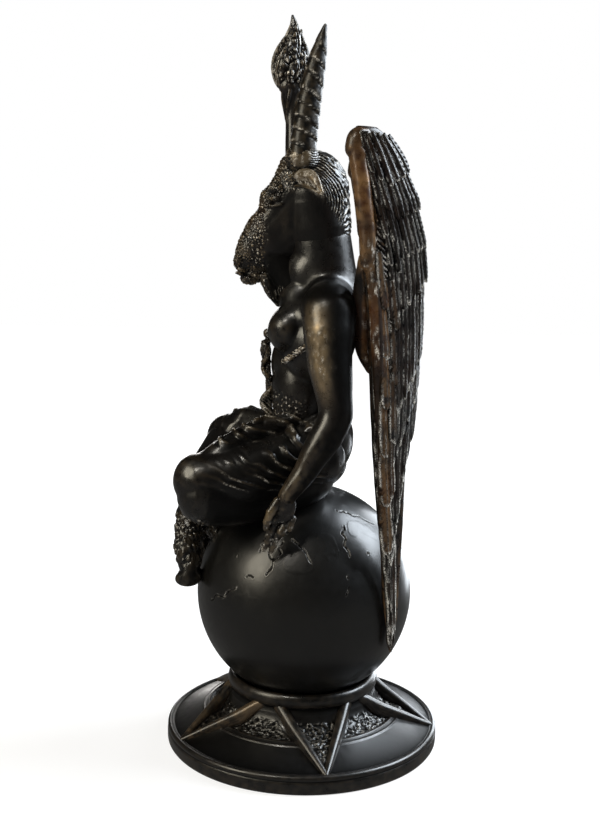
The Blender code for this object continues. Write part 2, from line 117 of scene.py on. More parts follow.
def roundBall():
    shape = bmesh.new()
    bmesh.ops.create_icosphere(shape, subdivisions=4, radius=1.0)
    points = np.array([v.co[:] for v in shape.verts])
    faces = np.array([[v.index for v in f.verts] for f in shape.faces])
    shape.free()
    return points, faces


ballPoints, ballFaces = roundBall()


def ball(clay, centre, radii, turn=(0, 0, 0)):
    spin = np.array(Euler([math.radians(a) for a in turn]).to_matrix())
    addForm(clay, (ballPoints * np.array(radii)) @ spin.T + np.array(centre), [ballFaces])


def smoothRows(rows, steps):
    rows = np.array(rows, float)
    padded = np.vstack([2 * rows[0] - rows[1], rows, 2 * rows[-1] - rows[-2]])
    out = []
    for i in range(len(rows) - 1):
        a, b, c, d = padded[i:i + 4]
        for t in np.arange(steps) / steps:
            out.append(0.5 * (2 * b + (c - a) * t + (2 * a - 5 * b + 4 * c - d) * t * t
                + (3 * b - a - 3 * c + d) * t ** 3))
    out.append(rows[-1])
    return np.array(out)


def unit(vectors):
    return vectors / np.maximum(np.linalg.norm(vectors, axis=-1, keepdims=True), 1e-9)


def sweepFrames(path, first=None):
    ahead = unit(np.gradient(path, axis=0))
    side = np.array(first if first is not None else (1.0, 0.0, 0.0) if abs(ahead[0][0]) < 0.8
        else (0.0, 1.0, 0.0))
    sides = []
    for step in ahead:
        side = unit(side - step * side.dot(step))
        sides.append(side)
    sides = np.array(sides)
    return ahead, sides, np.cross(ahead, sides)


def ringFaces(rings, sides):
    start = (np.arange(rings - 1)[:, None] * sides + np.arange(sides)[None]).ravel()
    after = (np.arange(rings - 1)[:, None] * sides + (np.arange(sides)[None] + 1) % sides).ravel()
    return np.stack([start, after, after + sides, start + sides], axis=1)


def capped(rings, sides):  # side faces and two fans; the last two points are the caps' middles
    count = rings * sides
    ring = np.arange(sides)
    following = (ring + 1) % sides
    low = np.stack([following, ring, np.full(sides, count)], axis=1)
    high = (np.stack([ring, following, np.full(sides, count + 1)], axis=1)
        + np.array([count - sides, count - sides, 0]))
    return [ringFaces(rings, sides), low, high]


def tube(clay, rows, sides=14, steps=6, flat=1.0, first=None):  # rows of x, y, z, radius; ends are round
    line = smoothRows(rows, steps)
    path, radius = line[:, :3], np.maximum(line[:, 3], 0.15)
    ahead, side, up = sweepFrames(path, first)
    bend = np.radians([90 - 1e-3, 68, 45, 22])
    lowEnd = [path[0] - ahead[0] * radius[0] * math.sin(a) for a in bend]
    highEnd = [path[-1] + ahead[-1] * radius[-1] * math.sin(a) for a in bend[::-1]]
    path = np.vstack([lowEnd, path, highEnd])
    radius = np.concatenate([radius[0] * np.cos(bend), radius, radius[-1] * np.cos(bend[::-1])])
    side = np.vstack([[side[0]] * 4, side, [side[-1]] * 4])
    up = np.vstack([[up[0]] * 4, up, [up[-1]] * 4])
    angle = np.arange(sides) * 2 * math.pi / sides
    around = side[:, None] * np.cos(angle)[None, :, None] + up[:, None] * np.sin(angle)[None, :, None] * flat
    points = (path[:, None] + around * radius[:, None, None]).reshape(-1, 3)
    addForm(clay, np.vstack([points, path[0], path[-1]]), capped(len(path), sides))


def meshFrom(name, points, faces):
    mesh = bpy.data.meshes.new(name)
    corners = np.concatenate([block.ravel() for block in faces])
    sizes = np.concatenate([np.full(len(block), block.shape[1]) for block in faces])
    mesh.vertices.add(len(points))
    mesh.loops.add(len(corners))
    mesh.polygons.add(len(sizes))
    mesh.vertices.foreach_set("co", np.ascontiguousarray(points, dtype=np.float32).ravel())
    mesh.loops.foreach_set("vertex_index", corners.astype(np.int32))
    mesh.polygons.foreach_set("loop_start", (np.cumsum(sizes) - sizes).astype(np.int32))
    mesh.update(calc_edges=True)
    return mesh


def fuse(clay, voxel, rounds=2):  # one skin round all forms, softened a little
    mesh = meshFrom("clay", np.vstack(clay["points"]), clay["faces"])
    lump = bpy.data.objects.new("clay", mesh)
    bpy.context.scene.collection.objects.link(lump)
    skin = lump.modifiers.new("skin", "REMESH")
    skin.mode = "VOXEL"
    skin.voxel_size = voxel
    made = bpy.data.meshes.new_from_object(lump.evaluated_get(bpy.context.evaluated_depsgraph_get()))
    points = np.empty(len(made.vertices) * 3, np.float32)
    made.vertices.foreach_get("co", points)
    corners = np.empty(len(made.loops), np.int32)
    made.loops.foreach_get("vertex_index", corners)
    bpy.data.objects.remove(lump)
    bpy.data.meshes.remove(mesh)
    bpy.data.meshes.remove(made)
    points = points.reshape(-1, 3).astype(float)
    faces = [corners.reshape(-1, 4)]
    return relax(points, faces, rounds), faces


def edgesOf(faces):
    pairs = [np.stack([block, np.roll(block, -1, axis=1)], axis=2).reshape(-1, 2) for block in faces]
    return np.concatenate(pairs)


def average(values, edges, count):
    degree = np.bincount(edges[:, 0], minlength=count) + np.bincount(edges[:, 1], minlength=count)
    out = np.empty_like(values)
    for axis in range(values.shape[1]):
        pulled = np.bincount(edges[:, 0], values[edges[:, 1], axis], count)
        pulled += np.bincount(edges[:, 1], values[edges[:, 0], axis], count)
        out[:, axis] = pulled / np.maximum(degree, 1)
    return out


def relax(points, faces, rounds, share=0.5):
    edges = edgesOf(faces)
    for _ in range(rounds):
        points = points + (average(points, edges, len(points)) - points) * share
    return points


def normalsOf(points, faces):
    total = np.zeros_like(points)
    for block in faces:
        a, b, c, d = (points[block[:, k]] for k in (0, 1, 2, -1))
        normal = np.cross(c - a, d - b) if block.shape[1] == 4 else np.cross(b - a, c - a)
        for corner in range(block.shape[1]):
            for axis in range(3):
                total[:, axis] += np.bincount(block[:, corner], normal[:, axis], len(points))
    return unit(total)


# finishes

# each finish: a dark bronze, a warm brown for mottled tone and for painted warm light on some lit sides, a
# gold-brown that serves both for rubbed bronze and for painted highlights, and a near-white that paints
# glints and sparkles of light onto relief
bronzes = {
    "figure_bronze": {"dark": (0.0035, 0.0032, 0.0029), "warm": (0.015, 0.0085, 0.005),
        "rubbed": (0.24, 0.172, 0.092), "rough": (0.24, 0.36), "shine": 0.6, "fleck": (0.82, 0.76, 0.66)},
    "globe_bronze": {"dark": (0.0040, 0.0038, 0.0036), "warm": (0.008, 0.007, 0.0055),
        "rubbed": (0.12, 0.10, 0.08), "rough": (0.31, 0.39), "shine": 0.6, "fleck": (0.46, 0.44, 0.40)},
    "base_bronze": {"dark": (0.0045, 0.0042, 0.0040), "warm": (0.012, 0.009, 0.006),
        "rubbed": (0.17, 0.12, 0.07), "rough": (0.27, 0.40), "shine": 0.6, "fleck": (0.50, 0.47, 0.42)},
    "wing_bronze": {"dark": (0.0045, 0.0040, 0.0038), "warm": (0.045, 0.018, 0.007),
        "rubbed": (0.26, 0.145, 0.060), "rough": (0.23, 0.38), "shine": 0.32, "fleck": (0.80, 0.76, 0.68)},
}


def mapRange(nodes, links, source, low, high, start=0.0, end=1.0):
    made = nodes.new("ShaderNodeMapRange")
    for key, value in (("From Min", low), ("From Max", high), ("To Min", start), ("To Max", end)):
        made.inputs[key].default_value = value
    links.new(source, made.inputs["Value"])
    return made.outputs["Result"]


def bronzeFinish(name, facts):
    material = bpy.data.materials.new(name)
    material.use_nodes = True
    nodes, links = material.node_tree.nodes, material.node_tree.links
    shader = nodes["Principled BSDF"]
    shader.inputs["Coat Roughness"].default_value = 0.16

    def ramp(source, *levels):
        return mapRange(nodes, links, source, *levels)

    def maths(operation, first, second):
        made = nodes.new("ShaderNodeMath")
        made.operation = operation
        for slot, value in zip(made.inputs, (first, second)):
            if isinstance(value, (int, float)):
                slot.default_value = value
            else:
                links.new(value, slot)
        return made.outputs[0]

    def blendColours(share, first, second):
        made = nodes.new("ShaderNodeMix")
        made.data_type = "RGBA"
        links.new(share, made.inputs[0])
        for slot, value in ((made.inputs[6], first), (made.inputs[7], second)):
            if isinstance(value, tuple):
                slot.default_value = (*value, 1.0)
            else:
                links.new(value, slot)
        return made.outputs[2]

    place = nodes.new("ShaderNodeTexCoord").outputs["Object"]
    noises = {}
    for label, size, detail in (("clouds", 45.0, 3.0), ("mottle", 260.0, 4.0), ("pores", 1900.0, 2.0)):
        made = nodes.new("ShaderNodeTexNoise")
        for key, value in (("Scale", size), ("Detail", detail), ("Roughness", 0.6)):
            made.inputs[key].default_value = value
        links.new(place, made.inputs["Vector"])
        noises[label] = made.outputs["Fac"]
    masks = {}
    for label in ("wear", "cavity", "tone", "polish", "fleck"):
        made = nodes.new("ShaderNodeAttribute")
        made.attribute_name = label
        masks[label] = made.outputs["Fac"]
    # warm brown mottle where the tone mask is set: random tone, and on some pieces painted warm light on the
    # side toward the warm lamp
    warmShare = maths("MULTIPLY", ramp(noises["clouds"], 0.40, 0.64), masks["tone"])
    colour = blendColours(warmShare, facts["dark"], facts["warm"])
    # gold-brown on worn edges and where the polish mask is set; that mask holds both rubbed patches and
    # painted highlights, which also turn more metallic
    rubShare = maths("MULTIPLY", masks["wear"], ramp(noises["mottle"], 0.40, 0.64))
    rubShare = maths("MULTIPLY", rubShare, masks["tone"])
    polishShare = maths("MULTIPLY", masks["polish"], ramp(noises["mottle"], 0.34, 0.64, 0.45, 1.0))
    rubShare = maths("MAXIMUM", rubShare, polishShare)
    colour = blendColours(rubShare, colour, facts["rubbed"])
    # darker in hollows and in painted shade; the lines below also make these places rougher and take away
    # their gloss and coat
    colour = blendColours(ramp(masks["cavity"], 0.0, 1.0, 0.0, 0.85), colour, (0.002, 0.002, 0.002))
    # painted glints: near-white specks where the glint mask is set, broken up by fine noise
    fleckShare = maths("MULTIPLY", masks["fleck"], ramp(noises["pores"], 0.42, 0.60))
    colour = blendColours(fleckShare, colour, facts["fleck"])
    links.new(colour, shader.inputs["Base Color"])
    links.new(ramp(rubShare, 0.0, 1.0, 0.0, 0.55), shader.inputs["Metallic"])
    rough = ramp(noises["mottle"], 0.3, 0.7, *facts["rough"])
    rough = maths("ADD", rough, ramp(masks["cavity"], 0.0, 1.0, 0.0, 0.12))
    links.new(ramp(masks["cavity"], 0.0, 1.0, facts["shine"], 0.04), shader.inputs["Specular IOR Level"])
    links.new(ramp(masks["cavity"], 0.0, 1.0, 0.15, 0.0), shader.inputs["Coat Weight"])
    links.new(rough, shader.inputs["Roughness"])
    bump = nodes.new("ShaderNodeBump")
    bump.inputs["Strength"].default_value = 0.10
    bump.inputs["Distance"].default_value = 0.0002
    links.new(noises["pores"], bump.inputs["Height"])
    links.new(bump.outputs["Normal"], shader.inputs["Normal"])
    return material


finishes = {name: bronzeFinish(name, facts) for name, facts in bronzes.items()}


def thin(thing, share, flat):  # fewer triangles, most of them where the skin is carved
    cut = thing.modifiers.new("thin", "DECIMATE")
    cut.ratio = share
    if flat:
        thing.modifiers.new("even", "WEIGHTED_NORMAL").mode = "FACE_AREA"
    ready = bpy.context.evaluated_depsgraph_get()
    thinner = bpy.data.meshes.new_from_object(thing.evaluated_get(ready), preserve_all_data_layers=True,
        depsgraph=ready)
    thing.modifiers.clear()
    full, thing.data = thing.data, thinner
    bpy.data.meshes.remove(full)


def makePiece(name, points, faces, finish, node, wearSize=0.22, shift=True, rounds=10, keep=1.0, flat=False,
    hold=1.0, **masks):
    normals = normalsOf(points, faces)
    soft = relax(points, faces, rounds, 1.0)
    lift = ((points - soft) * normals).sum(axis=1)
    placed = (points + np.array([0, 0, rowShift if shift else 0.0])) / 1000
    mesh = meshFrom(name, placed, faces)
    values = {"wear": hold * fade(lift, 0.15 * wearSize, wearSize),
        "cavity": hold * fade(-lift, 0.1 * wearSize, wearSize)}
    # painted shade, places kept dark and without reflections, is added to the hollows' mask
    values["cavity"] = np.maximum(values["cavity"], masks.get("dull", 0.0))
    for label in ("tone", "polish", "fleck"):
        values[label] = np.clip(masks.get(label, 0.0) + np.zeros(len(points)), 0, 1)
    for label, value in values.items():
        mask = mesh.attributes.new(label, "FLOAT", "POINT")
        mask.data.foreach_set("value", value.astype(np.float32))
    mesh.shade_smooth()
    mesh.materials.append(finishes[finish])
    thing = bpy.data.objects.new(name, mesh)
    bpy.context.scene.collection.objects.link(thing)
    if keep < 1:
        thin(thing, keep, flat)
    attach(thing, "root")
    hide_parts(node)
    print(name, "made of", sum(len(f.vertices) - 2 for f in thing.data.polygons), "triangles")
    return thing


# camera, floor and lights

view = {"azimuth": 93.0, "pitch": 7.09, "distance": 0.528, "height": 0.2399, "lens": 43.06,
    "shift": -6.8 / 836, "roll": 0.96}
studio = {
    "sky": 0.02, "ground": 0.15, "backdrop": 1.0, "floorGlow": (0.78, 1.0), "floorPaint": 0.30,
    "window": {"turn": 106, "lift": 40, "away": 1.30, "size": (0.95, 0.85), "power": 35.0,
        "colour": (0.84, 0.92, 1.0)},
    "warmSide": {"turn": -55, "lift": 29, "away": 1.30, "size": (0.50, 0.70), "power": 8.0,
        "colour": (1.0, 0.92, 0.74)},
    "front": {"turn": -28, "lift": 52, "away": 1.30, "size": (0.16, 0.16), "power": 4.0,
        "colour": (1.0, 0.95, 0.85)},
    "behind": {"turn": 152, "lift": 6, "away": 1.40, "size": (0.55, 1.1), "power": 12.0,
        "colour": (0.88, 0.94, 1.0)},
    "behindLeft": {"turn": 197, "lift": 8, "away": 1.40, "size": (0.14, 0.9), "power": 2.0,
        "colour": (1.0, 0.97, 0.93)},
}


def setCamera():
    azimuth, pitch = math.radians(view["azimuth"]), math.radians(view["pitch"])
    right = Vector((math.cos(azimuth), math.sin(azimuth), 0))
    level = Vector((-math.sin(azimuth), math.cos(azimuth), 0))
    forward = level * math.cos(pitch) - Vector((0, 0, 1)) * math.sin(pitch)
    matrix = Matrix((right, right.cross(forward), -forward)).transposed().to_4x4()
    matrix = matrix @ Matrix.Rotation(math.radians(view["roll"]), 4, "Z")
    matrix.translation = -level * view["distance"] + Vector((0, 0, view["height"]))
    lens = bpy.data.cameras.new("camera")
    lens.sensor_fit = "VERTICAL"
    lens.sensor_height = 36
    lens.lens = view["lens"]
    lens.shift_x = view["shift"]
    lens.clip_start = 0.01
    camera = bpy.data.objects.new("camera", lens)
    camera.matrix_world = matrix
    bpy.context.scene.collection.objects.link(camera)
    bpy.context.scene.camera = camera


def areaLight(name, facts):
    turn, lift = math.radians(facts["turn"]), math.radians(facts["lift"])
    aim = Vector((0, 0, 0.14))
    toward = Vector((math.cos(lift) * math.cos(turn), math.cos(lift) * math.sin(turn), math.sin(lift)))
    light = bpy.data.lights.new(name, "AREA")
    light.shape = "RECTANGLE"
    light.size, light.size_y = facts["size"]
    light.energy = facts["power"]
    light.color = facts["colour"]
    lamp = bpy.data.objects.new(name, light)
    lamp.location = aim + toward * facts["away"]
    lamp.rotation_euler = toward.to_track_quat("Z", "Y").to_euler()
    bpy.context.scene.collection.objects.link(lamp)


def setStudio():
    for name in ("window", "warmSide", "front", "behind", "behindLeft"):
        areaLight(name, studio[name])
    world = bpy.data.worlds.new("studio")
    world.use_nodes = True
    nodes, links = world.node_tree.nodes, world.node_tree.links
    dim, pale = nodes["Background"], nodes.new("ShaderNodeBackground")
    dim.inputs["Color"].default_value = (1.0, 0.98, 0.94, 1)
    split = nodes.new("ShaderNodeSeparateXYZ")
    links.new(nodes.new("ShaderNodeTexCoord").outputs["Generated"], split.inputs[0])
    glow = mapRange(nodes, links, split.outputs["Z"], -0.25, 0.1, studio["ground"], studio["sky"])
    links.new(glow, dim.inputs["Strength"])
    pale.inputs["Color"].default_value = (1, 1, 1, 1)
    pale.inputs["Strength"].default_value = studio["backdrop"]
    choose = nodes.new("ShaderNodeMixShader")
    links.new(nodes.new("ShaderNodeLightPath").outputs["Is Camera Ray"], choose.inputs[0])
    links.new(dim.outputs[0], choose.inputs[1])
    links.new(pale.outputs[0], choose.inputs[2])
    links.new(choose.outputs[0], nodes["World Output"].inputs["Surface"])
    bpy.context.scene.world = world
    bpy.context.scene.view_settings.view_transform = "Standard"


def setFloor():
    shape = bmesh.new()
    bmesh.ops.create_grid(shape, x_segments=8, y_segments=8, size=6.0)
    mesh = bpy.data.meshes.new("floor")
    shape.to_mesh(mesh)
    shape.free()
    paint = bpy.data.materials.new("floor_paint")
    paint.use_nodes = True
    shader = paint.node_tree.nodes["Principled BSDF"]
    shader.inputs["Base Color"].default_value = (*[studio["floorPaint"]] * 3, 1)
    shader.inputs["Roughness"].default_value = 0.9
    shader.inputs["Specular IOR Level"].default_value = 0.1
    shader.inputs["Emission Color"].default_value = (1, 1, 1, 1)
    nodes, links = paint.node_tree.nodes, paint.node_tree.links
    reach = nodes.new("ShaderNodeVectorMath")
    reach.operation = "LENGTH"
    links.new(nodes.new("ShaderNodeTexCoord").outputs["Object"], reach.inputs[0])
    glow = mapRange(nodes, links, reach.outputs["Value"], 0.12, 0.7, *studio["floorGlow"])
    links.new(glow, shader.inputs["Emission Strength"])
    mesh.materials.append(paint)
    floor = bpy.data.objects.new("floor", mesh)
    floor.location.z = -0.0002
    floor.visible_glossy = False
    bpy.context.scene.collection.objects.link(floor)


setCamera()
setStudio()
setFloor()
print("camera, lights and floor set")


# globe

globeFacts = {"seen": 290, "unseen": 90, "crackDepth": 0.75, "crackWidth": 0.27, "lip": 0.16, "walks": 14,
    "seed": 5}

# cracks as degrees round from +X to +Y and degrees up; the ones seen from the side where the arm hangs come
# first
seenCracks = [
    [(33.9, 57.9), (42.8, 56.4), (47.8, 53.6), (54.7, 52.0), (57.9, 48.1), (64.6, 45.0)],
    [(34.1, 47.1), (29.7, 43.9), (31.1, 40.4), (27.5, 36.8), (30.5, 33.9), (30.2, 30.8)],
    [(-11.0, 39.2), (-12.6, 35.3), (-10.9, 32.9), (-14.3, 29.0), (-14.8, 25.5), (-17.5, 21.8)],
    [(-19.2, 33.7), (-17.7, 30.8), (-13.8, 29.6)],
    [(-6.0, 40.6), (-1.8, 38.6), (2.0, 36.0), (3.9, 32.4), (6.7, 28.9)],
    [(-51.4, 3.0), (-47.3, 7.1), (-42.2, 6.3), (-38.4, 10.6), (-34.0, 13.0)],
    [(-29.0, 19.3), (-26.8, 20.6), (-24.7, 19.4)],
    [(-24.3, 36.4), (-24.4, 33.2)],
    [(43.4, 31.4), (44.2, 30.8)],
    [(26.7, 21.2), (26.6, 20.2)],
    [(26.5, 15.8), (24.6, 12.2)],
    [(-39.0, 28.4), (-38.4, 28.0)],
]


def onGlobe(round_, up, radius=1.0):
    a, b = np.radians(round_), np.radians(up)
    return np.stack([np.cos(b) * np.cos(a), np.cos(b) * np.sin(a), np.sin(b)], axis=-1) * radius


def crackLines():
    rng = np.random.default_rng(globeFacts["seed"])
    lines = [np.array(line, float) for line in seenCracks]
    for walk in range(globeFacts["walks"]):
        spot = np.array([85 + 210 * (walk + rng.random()) / globeFacts["walks"], rng.uniform(-15, 48)])
        heading = rng.uniform(0, 360)
        line = [spot.copy()]
        for _ in range(int(rng.integers(4, 9))):
            heading += rng.uniform(-75, 75)
            spot = (spot + 6 * np.array([math.cos(math.radians(heading)),
                math.sin(math.radians(heading)) * 0.8]))
            line.append(spot.copy())
        lines.append(np.array(line))
    jagged = []
    for line in lines:
        for start, end in zip(line, line[1:]):
            steps = max(1, int(np.linalg.norm(end - start) / 1.8))
            for t in np.arange(steps) / steps:
                jagged.append(start + (end - start) * t + rng.normal(0, 0.30, 2))
        jagged += [line[-1], np.array([np.nan, np.nan])]
    return jagged


def segmentGap(points, start, end):
    along = end - start
    share = np.clip(((points - start) @ along) / max(along @ along, 1e-9), 0, 1)
    return np.linalg.norm(points - start - share[:, None] * along, axis=1)


def makeGlobe():
    up = np.concatenate([np.linspace(87, 62, 11), np.linspace(61.4, 0, 120), np.linspace(-2.4, -87, 32)])
    turn = np.concatenate([np.linspace(-58, 72, globeFacts["seen"]),
        np.linspace(74.2, 299.8, globeFacts["unseen"])])
    direction = onGlobe(*np.meshgrid(turn, up)).reshape(-1, 3)
    direction = np.vstack([direction, [0, 0, 1], [0, 0, -1]])
    faces = capped(len(up), len(turn))
    faces = [faces[0][:, ::-1], faces[1][:, ::-1], faces[2][:, ::-1]]
    places = direction * globeRadius
    gap = np.full(len(places), 9.0)
    line = crackLines()
    for start, end in zip(line, line[1:]):
        if np.isnan(start).any() or np.isnan(end).any():
            continue
        a, b = onGlobe(*start, globeRadius), onGlobe(*end, globeRadius)
        near = np.where(((places - (a + b) / 2) ** 2).sum(axis=1) < 49)[0]
        gap[near] = np.minimum(gap[near], segmentGap(places[near], a, b))
    hidden = np.maximum(fade(-places[:, 0], -10, 10), fade(places[:, 1], 46, 50))
    width = globeFacts["crackWidth"] * (1 + 0.5 * grain(places, 3.0, 4)) * (1 + 1.4 * hidden)
    groove = bump(gap, width)
    lip = bump(gap - 1.7 * width, 0.7 * width)
    height = -globeFacts["crackDepth"] * groove + globeFacts["lip"] * lip
    land = fade(grain(places, 14.0, 8) + 0.5 * grain(places, 5.0, 9), 0.38, 0.46) * fade(places[:, 2], -2, 12)
    height += 0.07 * land + 0.02 * grain(places, 2.0, 3) * land
    radius = np.minimum(globeRadius + height - 0.12, globeRadius - 0.01)
    points = direction * radius[:, None] + np.array([0, 0, globeMiddle])
    # painted glints on the lips of the cracks
    fleck = 0.75 * lip * fade(grain(places, 1.3, 12), -0.15, 0.25)
    makePiece("globeBall", points, faces, "globe_bronze", "globe", 0.25, shift=False,
        hold=fade(2.4 - gap, 0, 1), tone=0.4, fleck=fleck)


makeGlobe()


# base

baseFacts = {
    "steps": 600, "rimHeight": 7.5, "rimWidth": 3.3, "rimRise": 2.0, "floorRise": 7.0, "ring": 52.4,
    "flareRise": 12.5, "collar": 39.3, "bulge": 1.3, "collarHeight": 7.2, "mouth": 36.8,
    "starTurn": -5.0, "spread": 30.0, "ribTip": 1.35, "ribFoot": 3.1, "worm": 1.5, "wormDepth": 0.55,
    "keep": 0.55,
}


def basePath():
    f = baseFacts
    radius = baseHigh[0] * 1000
    floorEdge = f["rimHeight"] + f["rimRise"]
    foot = floorEdge + f["floorRise"]
    neck = foot + f["flareRise"]
    top = neck + f["collarHeight"]
    path = [(0.05, 25.0), (20, 25.0), (30, 31.4), (f["mouth"] - 1.2, top - 1.6)]
    for degrees in np.linspace(110, -80, 17):  # soft round collar
        a = math.radians(degrees)
        middle = (f["mouth"] + f["collar"]) / 2
        path.append((middle + (f["collar"] + f["bulge"] - middle) * math.cos(a),
            top - 3.9 + 3.9 * math.sin(a)))
    for degrees in np.linspace(76, 3, 46):  # hollow neck
        a = math.radians(degrees)
        path.append((f["ring"] - 1.6 - (f["ring"] - 1.6 - f["collar"]) * math.sin(a) ** 0.95,
            neck - f["flareRise"] * math.cos(a)))
    slope = (foot - floorEdge) / (radius - f["rimWidth"] - f["ring"] - 1.8)
    for r in np.arange(f["ring"] - 1.4, radius - f["rimWidth"] - 0.3, 0.42):
        path.append((r, foot + 0.1 - max(0.0, r - f["ring"] + 0.6) * slope * 0.98))
    inner = radius - f["rimWidth"]
    path += [(inner - 0.1, floorEdge - 0.15), (inner + 0.15, floorEdge - 0.35),
        (inner + 0.4, floorEdge - 0.15)]
    for degrees in np.linspace(130, -20, 12):  # bead of the rim
        a = math.radians(degrees)
        path.append((radius - 1.75 + 1.6 * math.cos(a), f["rimHeight"] + 0.25 + 1.75 * math.sin(a)))
    path += [(radius - 0.55, f["rimHeight"] - 0.75), (radius - 0.5, f["rimHeight"] - 1.1),
        (radius - 0.12, f["rimHeight"] - 1.5)]
    path += [(radius, 5.2), (radius, 4.2), (radius, 3.0), (radius, 1.8), (radius - 0.1, 0.8),
        (radius - 0.6, 0.1)]
    path += [(radius - 1.2, 0.0), (radius - 8, 0.0), (30, 0.0), (0.05, 0.0)]
    return np.array(path)


def starRibs(path):  # lines of the ten ribs from tip to collar: on the floor, and straight above it
    radius = baseHigh[0] * 1000 - baseFacts["rimWidth"]
    ribs = []
    for k in range(5):
        turn = math.radians(90 + baseFacts["starTurn"] + 72 * k)
        tip = np.array([math.cos(turn), math.sin(turn)]) * (radius + 0.2)
        for side in (-1, 1):
            a = turn + side * math.radians(baseFacts["spread"])
            foot = np.array([math.cos(a), math.sin(a)]) * (baseFacts["collar"] - 3.2)
            flat = tip + (foot - tip) * np.linspace(0, 1, 26)[:, None]
            reach = np.linalg.norm(flat, axis=1)
            floor = path[(path[:, 0] > baseFacts["collar"]) & (path[:, 1] > 9.0)]
            order = np.argsort(floor[:, 0])
            height = np.interp(reach, floor[order, 0], floor[order, 1])
            share = np.linspace(0, 1, 26)
            straight = height[0] + (height[-1] + 1.6 - height[0]) * share
            ribs.append((flat, relaxLine(height, 8), straight,
                baseFacts["ribTip"] + (baseFacts["ribFoot"] - baseFacts["ribTip"]) * share ** 0.7))
    return ribs


def relaxLine(values, rounds):
    for _ in range(rounds):
        values = np.concatenate([values[:1], values[1:-1] * 0.5 + (values[:-2] + values[2:]) * 0.25,
            values[-1:]])
    return values


def makeBase():
    path = basePath()
    steps = baseFacts["steps"]
    turn = 2 * math.pi * np.arange(steps) / steps
    circle = np.stack([np.cos(turn), np.sin(turn)], axis=1)
    points = np.concatenate([path[:, None, :1] * circle[None], np.repeat(path[:, None, 1:], steps, axis=1)],
        axis=2).reshape(-1, 3)
    faces = [ringFaces(len(path), steps)[:, ::-1]]
    ribs = starRibs(path)
    flat = points[:, :2]
    radius = np.linalg.norm(flat, axis=1)
    onTop = (points[:, 2] > 9.2) & (radius > baseFacts["collar"] + 0.4) & (radius < 70.0)
    gap = np.full(len(points), 99.0)
    for line, *_ in ribs:
        gap[onTop] = np.minimum(gap[onTop], segmentGap(flat[onTop], line[0], line[-1]))
    turnNow = np.degrees(np.arctan2(flat[:, 1], flat[:, 0])) - 90 - baseFacts["starTurn"]
    fromTip = np.radians(np.abs((turnNow + 36) % 72 - 36))
    tipRadius = baseHigh[0] * 1000 - baseFacts["rimWidth"]
    x, y = radius * np.cos(fromTip), radius * np.sin(fromTip)
    spread = math.radians(baseFacts["spread"])
    footX, footY = baseFacts["collar"] * math.cos(spread), baseFacts["collar"] * math.sin(spread)
    inArm = (y * (tipRadius - footX) + x * footY) < tipRadius * footY
    worms = np.clip(1 - np.abs(grain(points, baseFacts["worm"], 3)) * 3.2, -0.6, 1.0)
    edge = fade(gap, 2.4, 3.1) * fade(radius, baseFacts["collar"] + 1.4, baseFacts["collar"] + 2.4) * onTop
    inRing = fade(baseFacts["ring"] - 2.2 - radius, 0.0, 0.7)
    patch = edge * np.where(inArm, fade(64 - radius, 0, 2), inRing)
    lines = bump(radius - baseFacts["ring"] + 1.35, 0.38) + bump(radius - baseFacts["ring"] - 1.35, 0.38)
    lines = lines * ~inArm * fade(gap, 1.5, 2.2) * onTop
    lift = (baseFacts["wormDepth"] * worms - 0.15) * patch + 0.55 * lines
    normals = normalsOf(points, faces)
    points = points + normals * lift[:, None]
    points[:, 2] = np.maximum(points[:, 2], 0)
    # painted glints on the worm relief, stronger on the side toward the window lamp
    fleck = (0.8 * patch * fade(worms, 0.35, 0.8) * fade(grain(points, 0.9, 8), -0.2, 0.3)
        * fade(flat[:, 1], -30, 20))
    fleck += 0.35 * patch * fade(worms, 0.5, 0.9) * fade(grain(points, 1.4, 9), 0.1, 0.4)
    parts = newClay()
    addForm(parts, points, faces)
    for line, height, straight, width in ribs:
        for level in (0.3, 0.58, 0.86):
            rows = [(x, y, z - 0.35 * w, w) for (x, y), z,
                w in zip(line[::2], (height + (straight - height) * level)[::2], width[::2])]
            tube(parts, rows, sides=24, steps=2)
    points = np.vstack(parts["points"])
    count = len(points) - len(fleck)
    onRib = np.arange(len(points)) >= len(fleck)
    # painted warm light and sheen: the ribs on the side toward the warm lamp are warmer and more gold, and a
    # gold patch sits on the front-left ribs
    left = fade(-points[:, 1], -4, 26)
    gold = np.exp(-((points[:, 0] - 34) ** 2 + (points[:, 1] + 24) ** 2) / 60)
    polish = np.where(onRib, 0.16 * left * fade(grain(points, 5.0, 7), -0.2, 0.5) + 0.8 * gold, 0)
    fleck = np.concatenate([fleck, np.zeros(count)])
    tone = 0.12 + 0.45 * left * onRib
    makePiece("baseFoot", points, parts["faces"], "base_bronze", "base", 0.30, shift=False, rounds=8,
        keep=baseFacts["keep"], flat=True, tone=tone, polish=polish, fleck=fleck)


makeBase()


# head

headFacts = {"voxel": 0.36, "curl": 1.35, "curlDepth": 0.50, "hairGap": 1.15, "hairDepth": 0.40, "keep": 0.55}


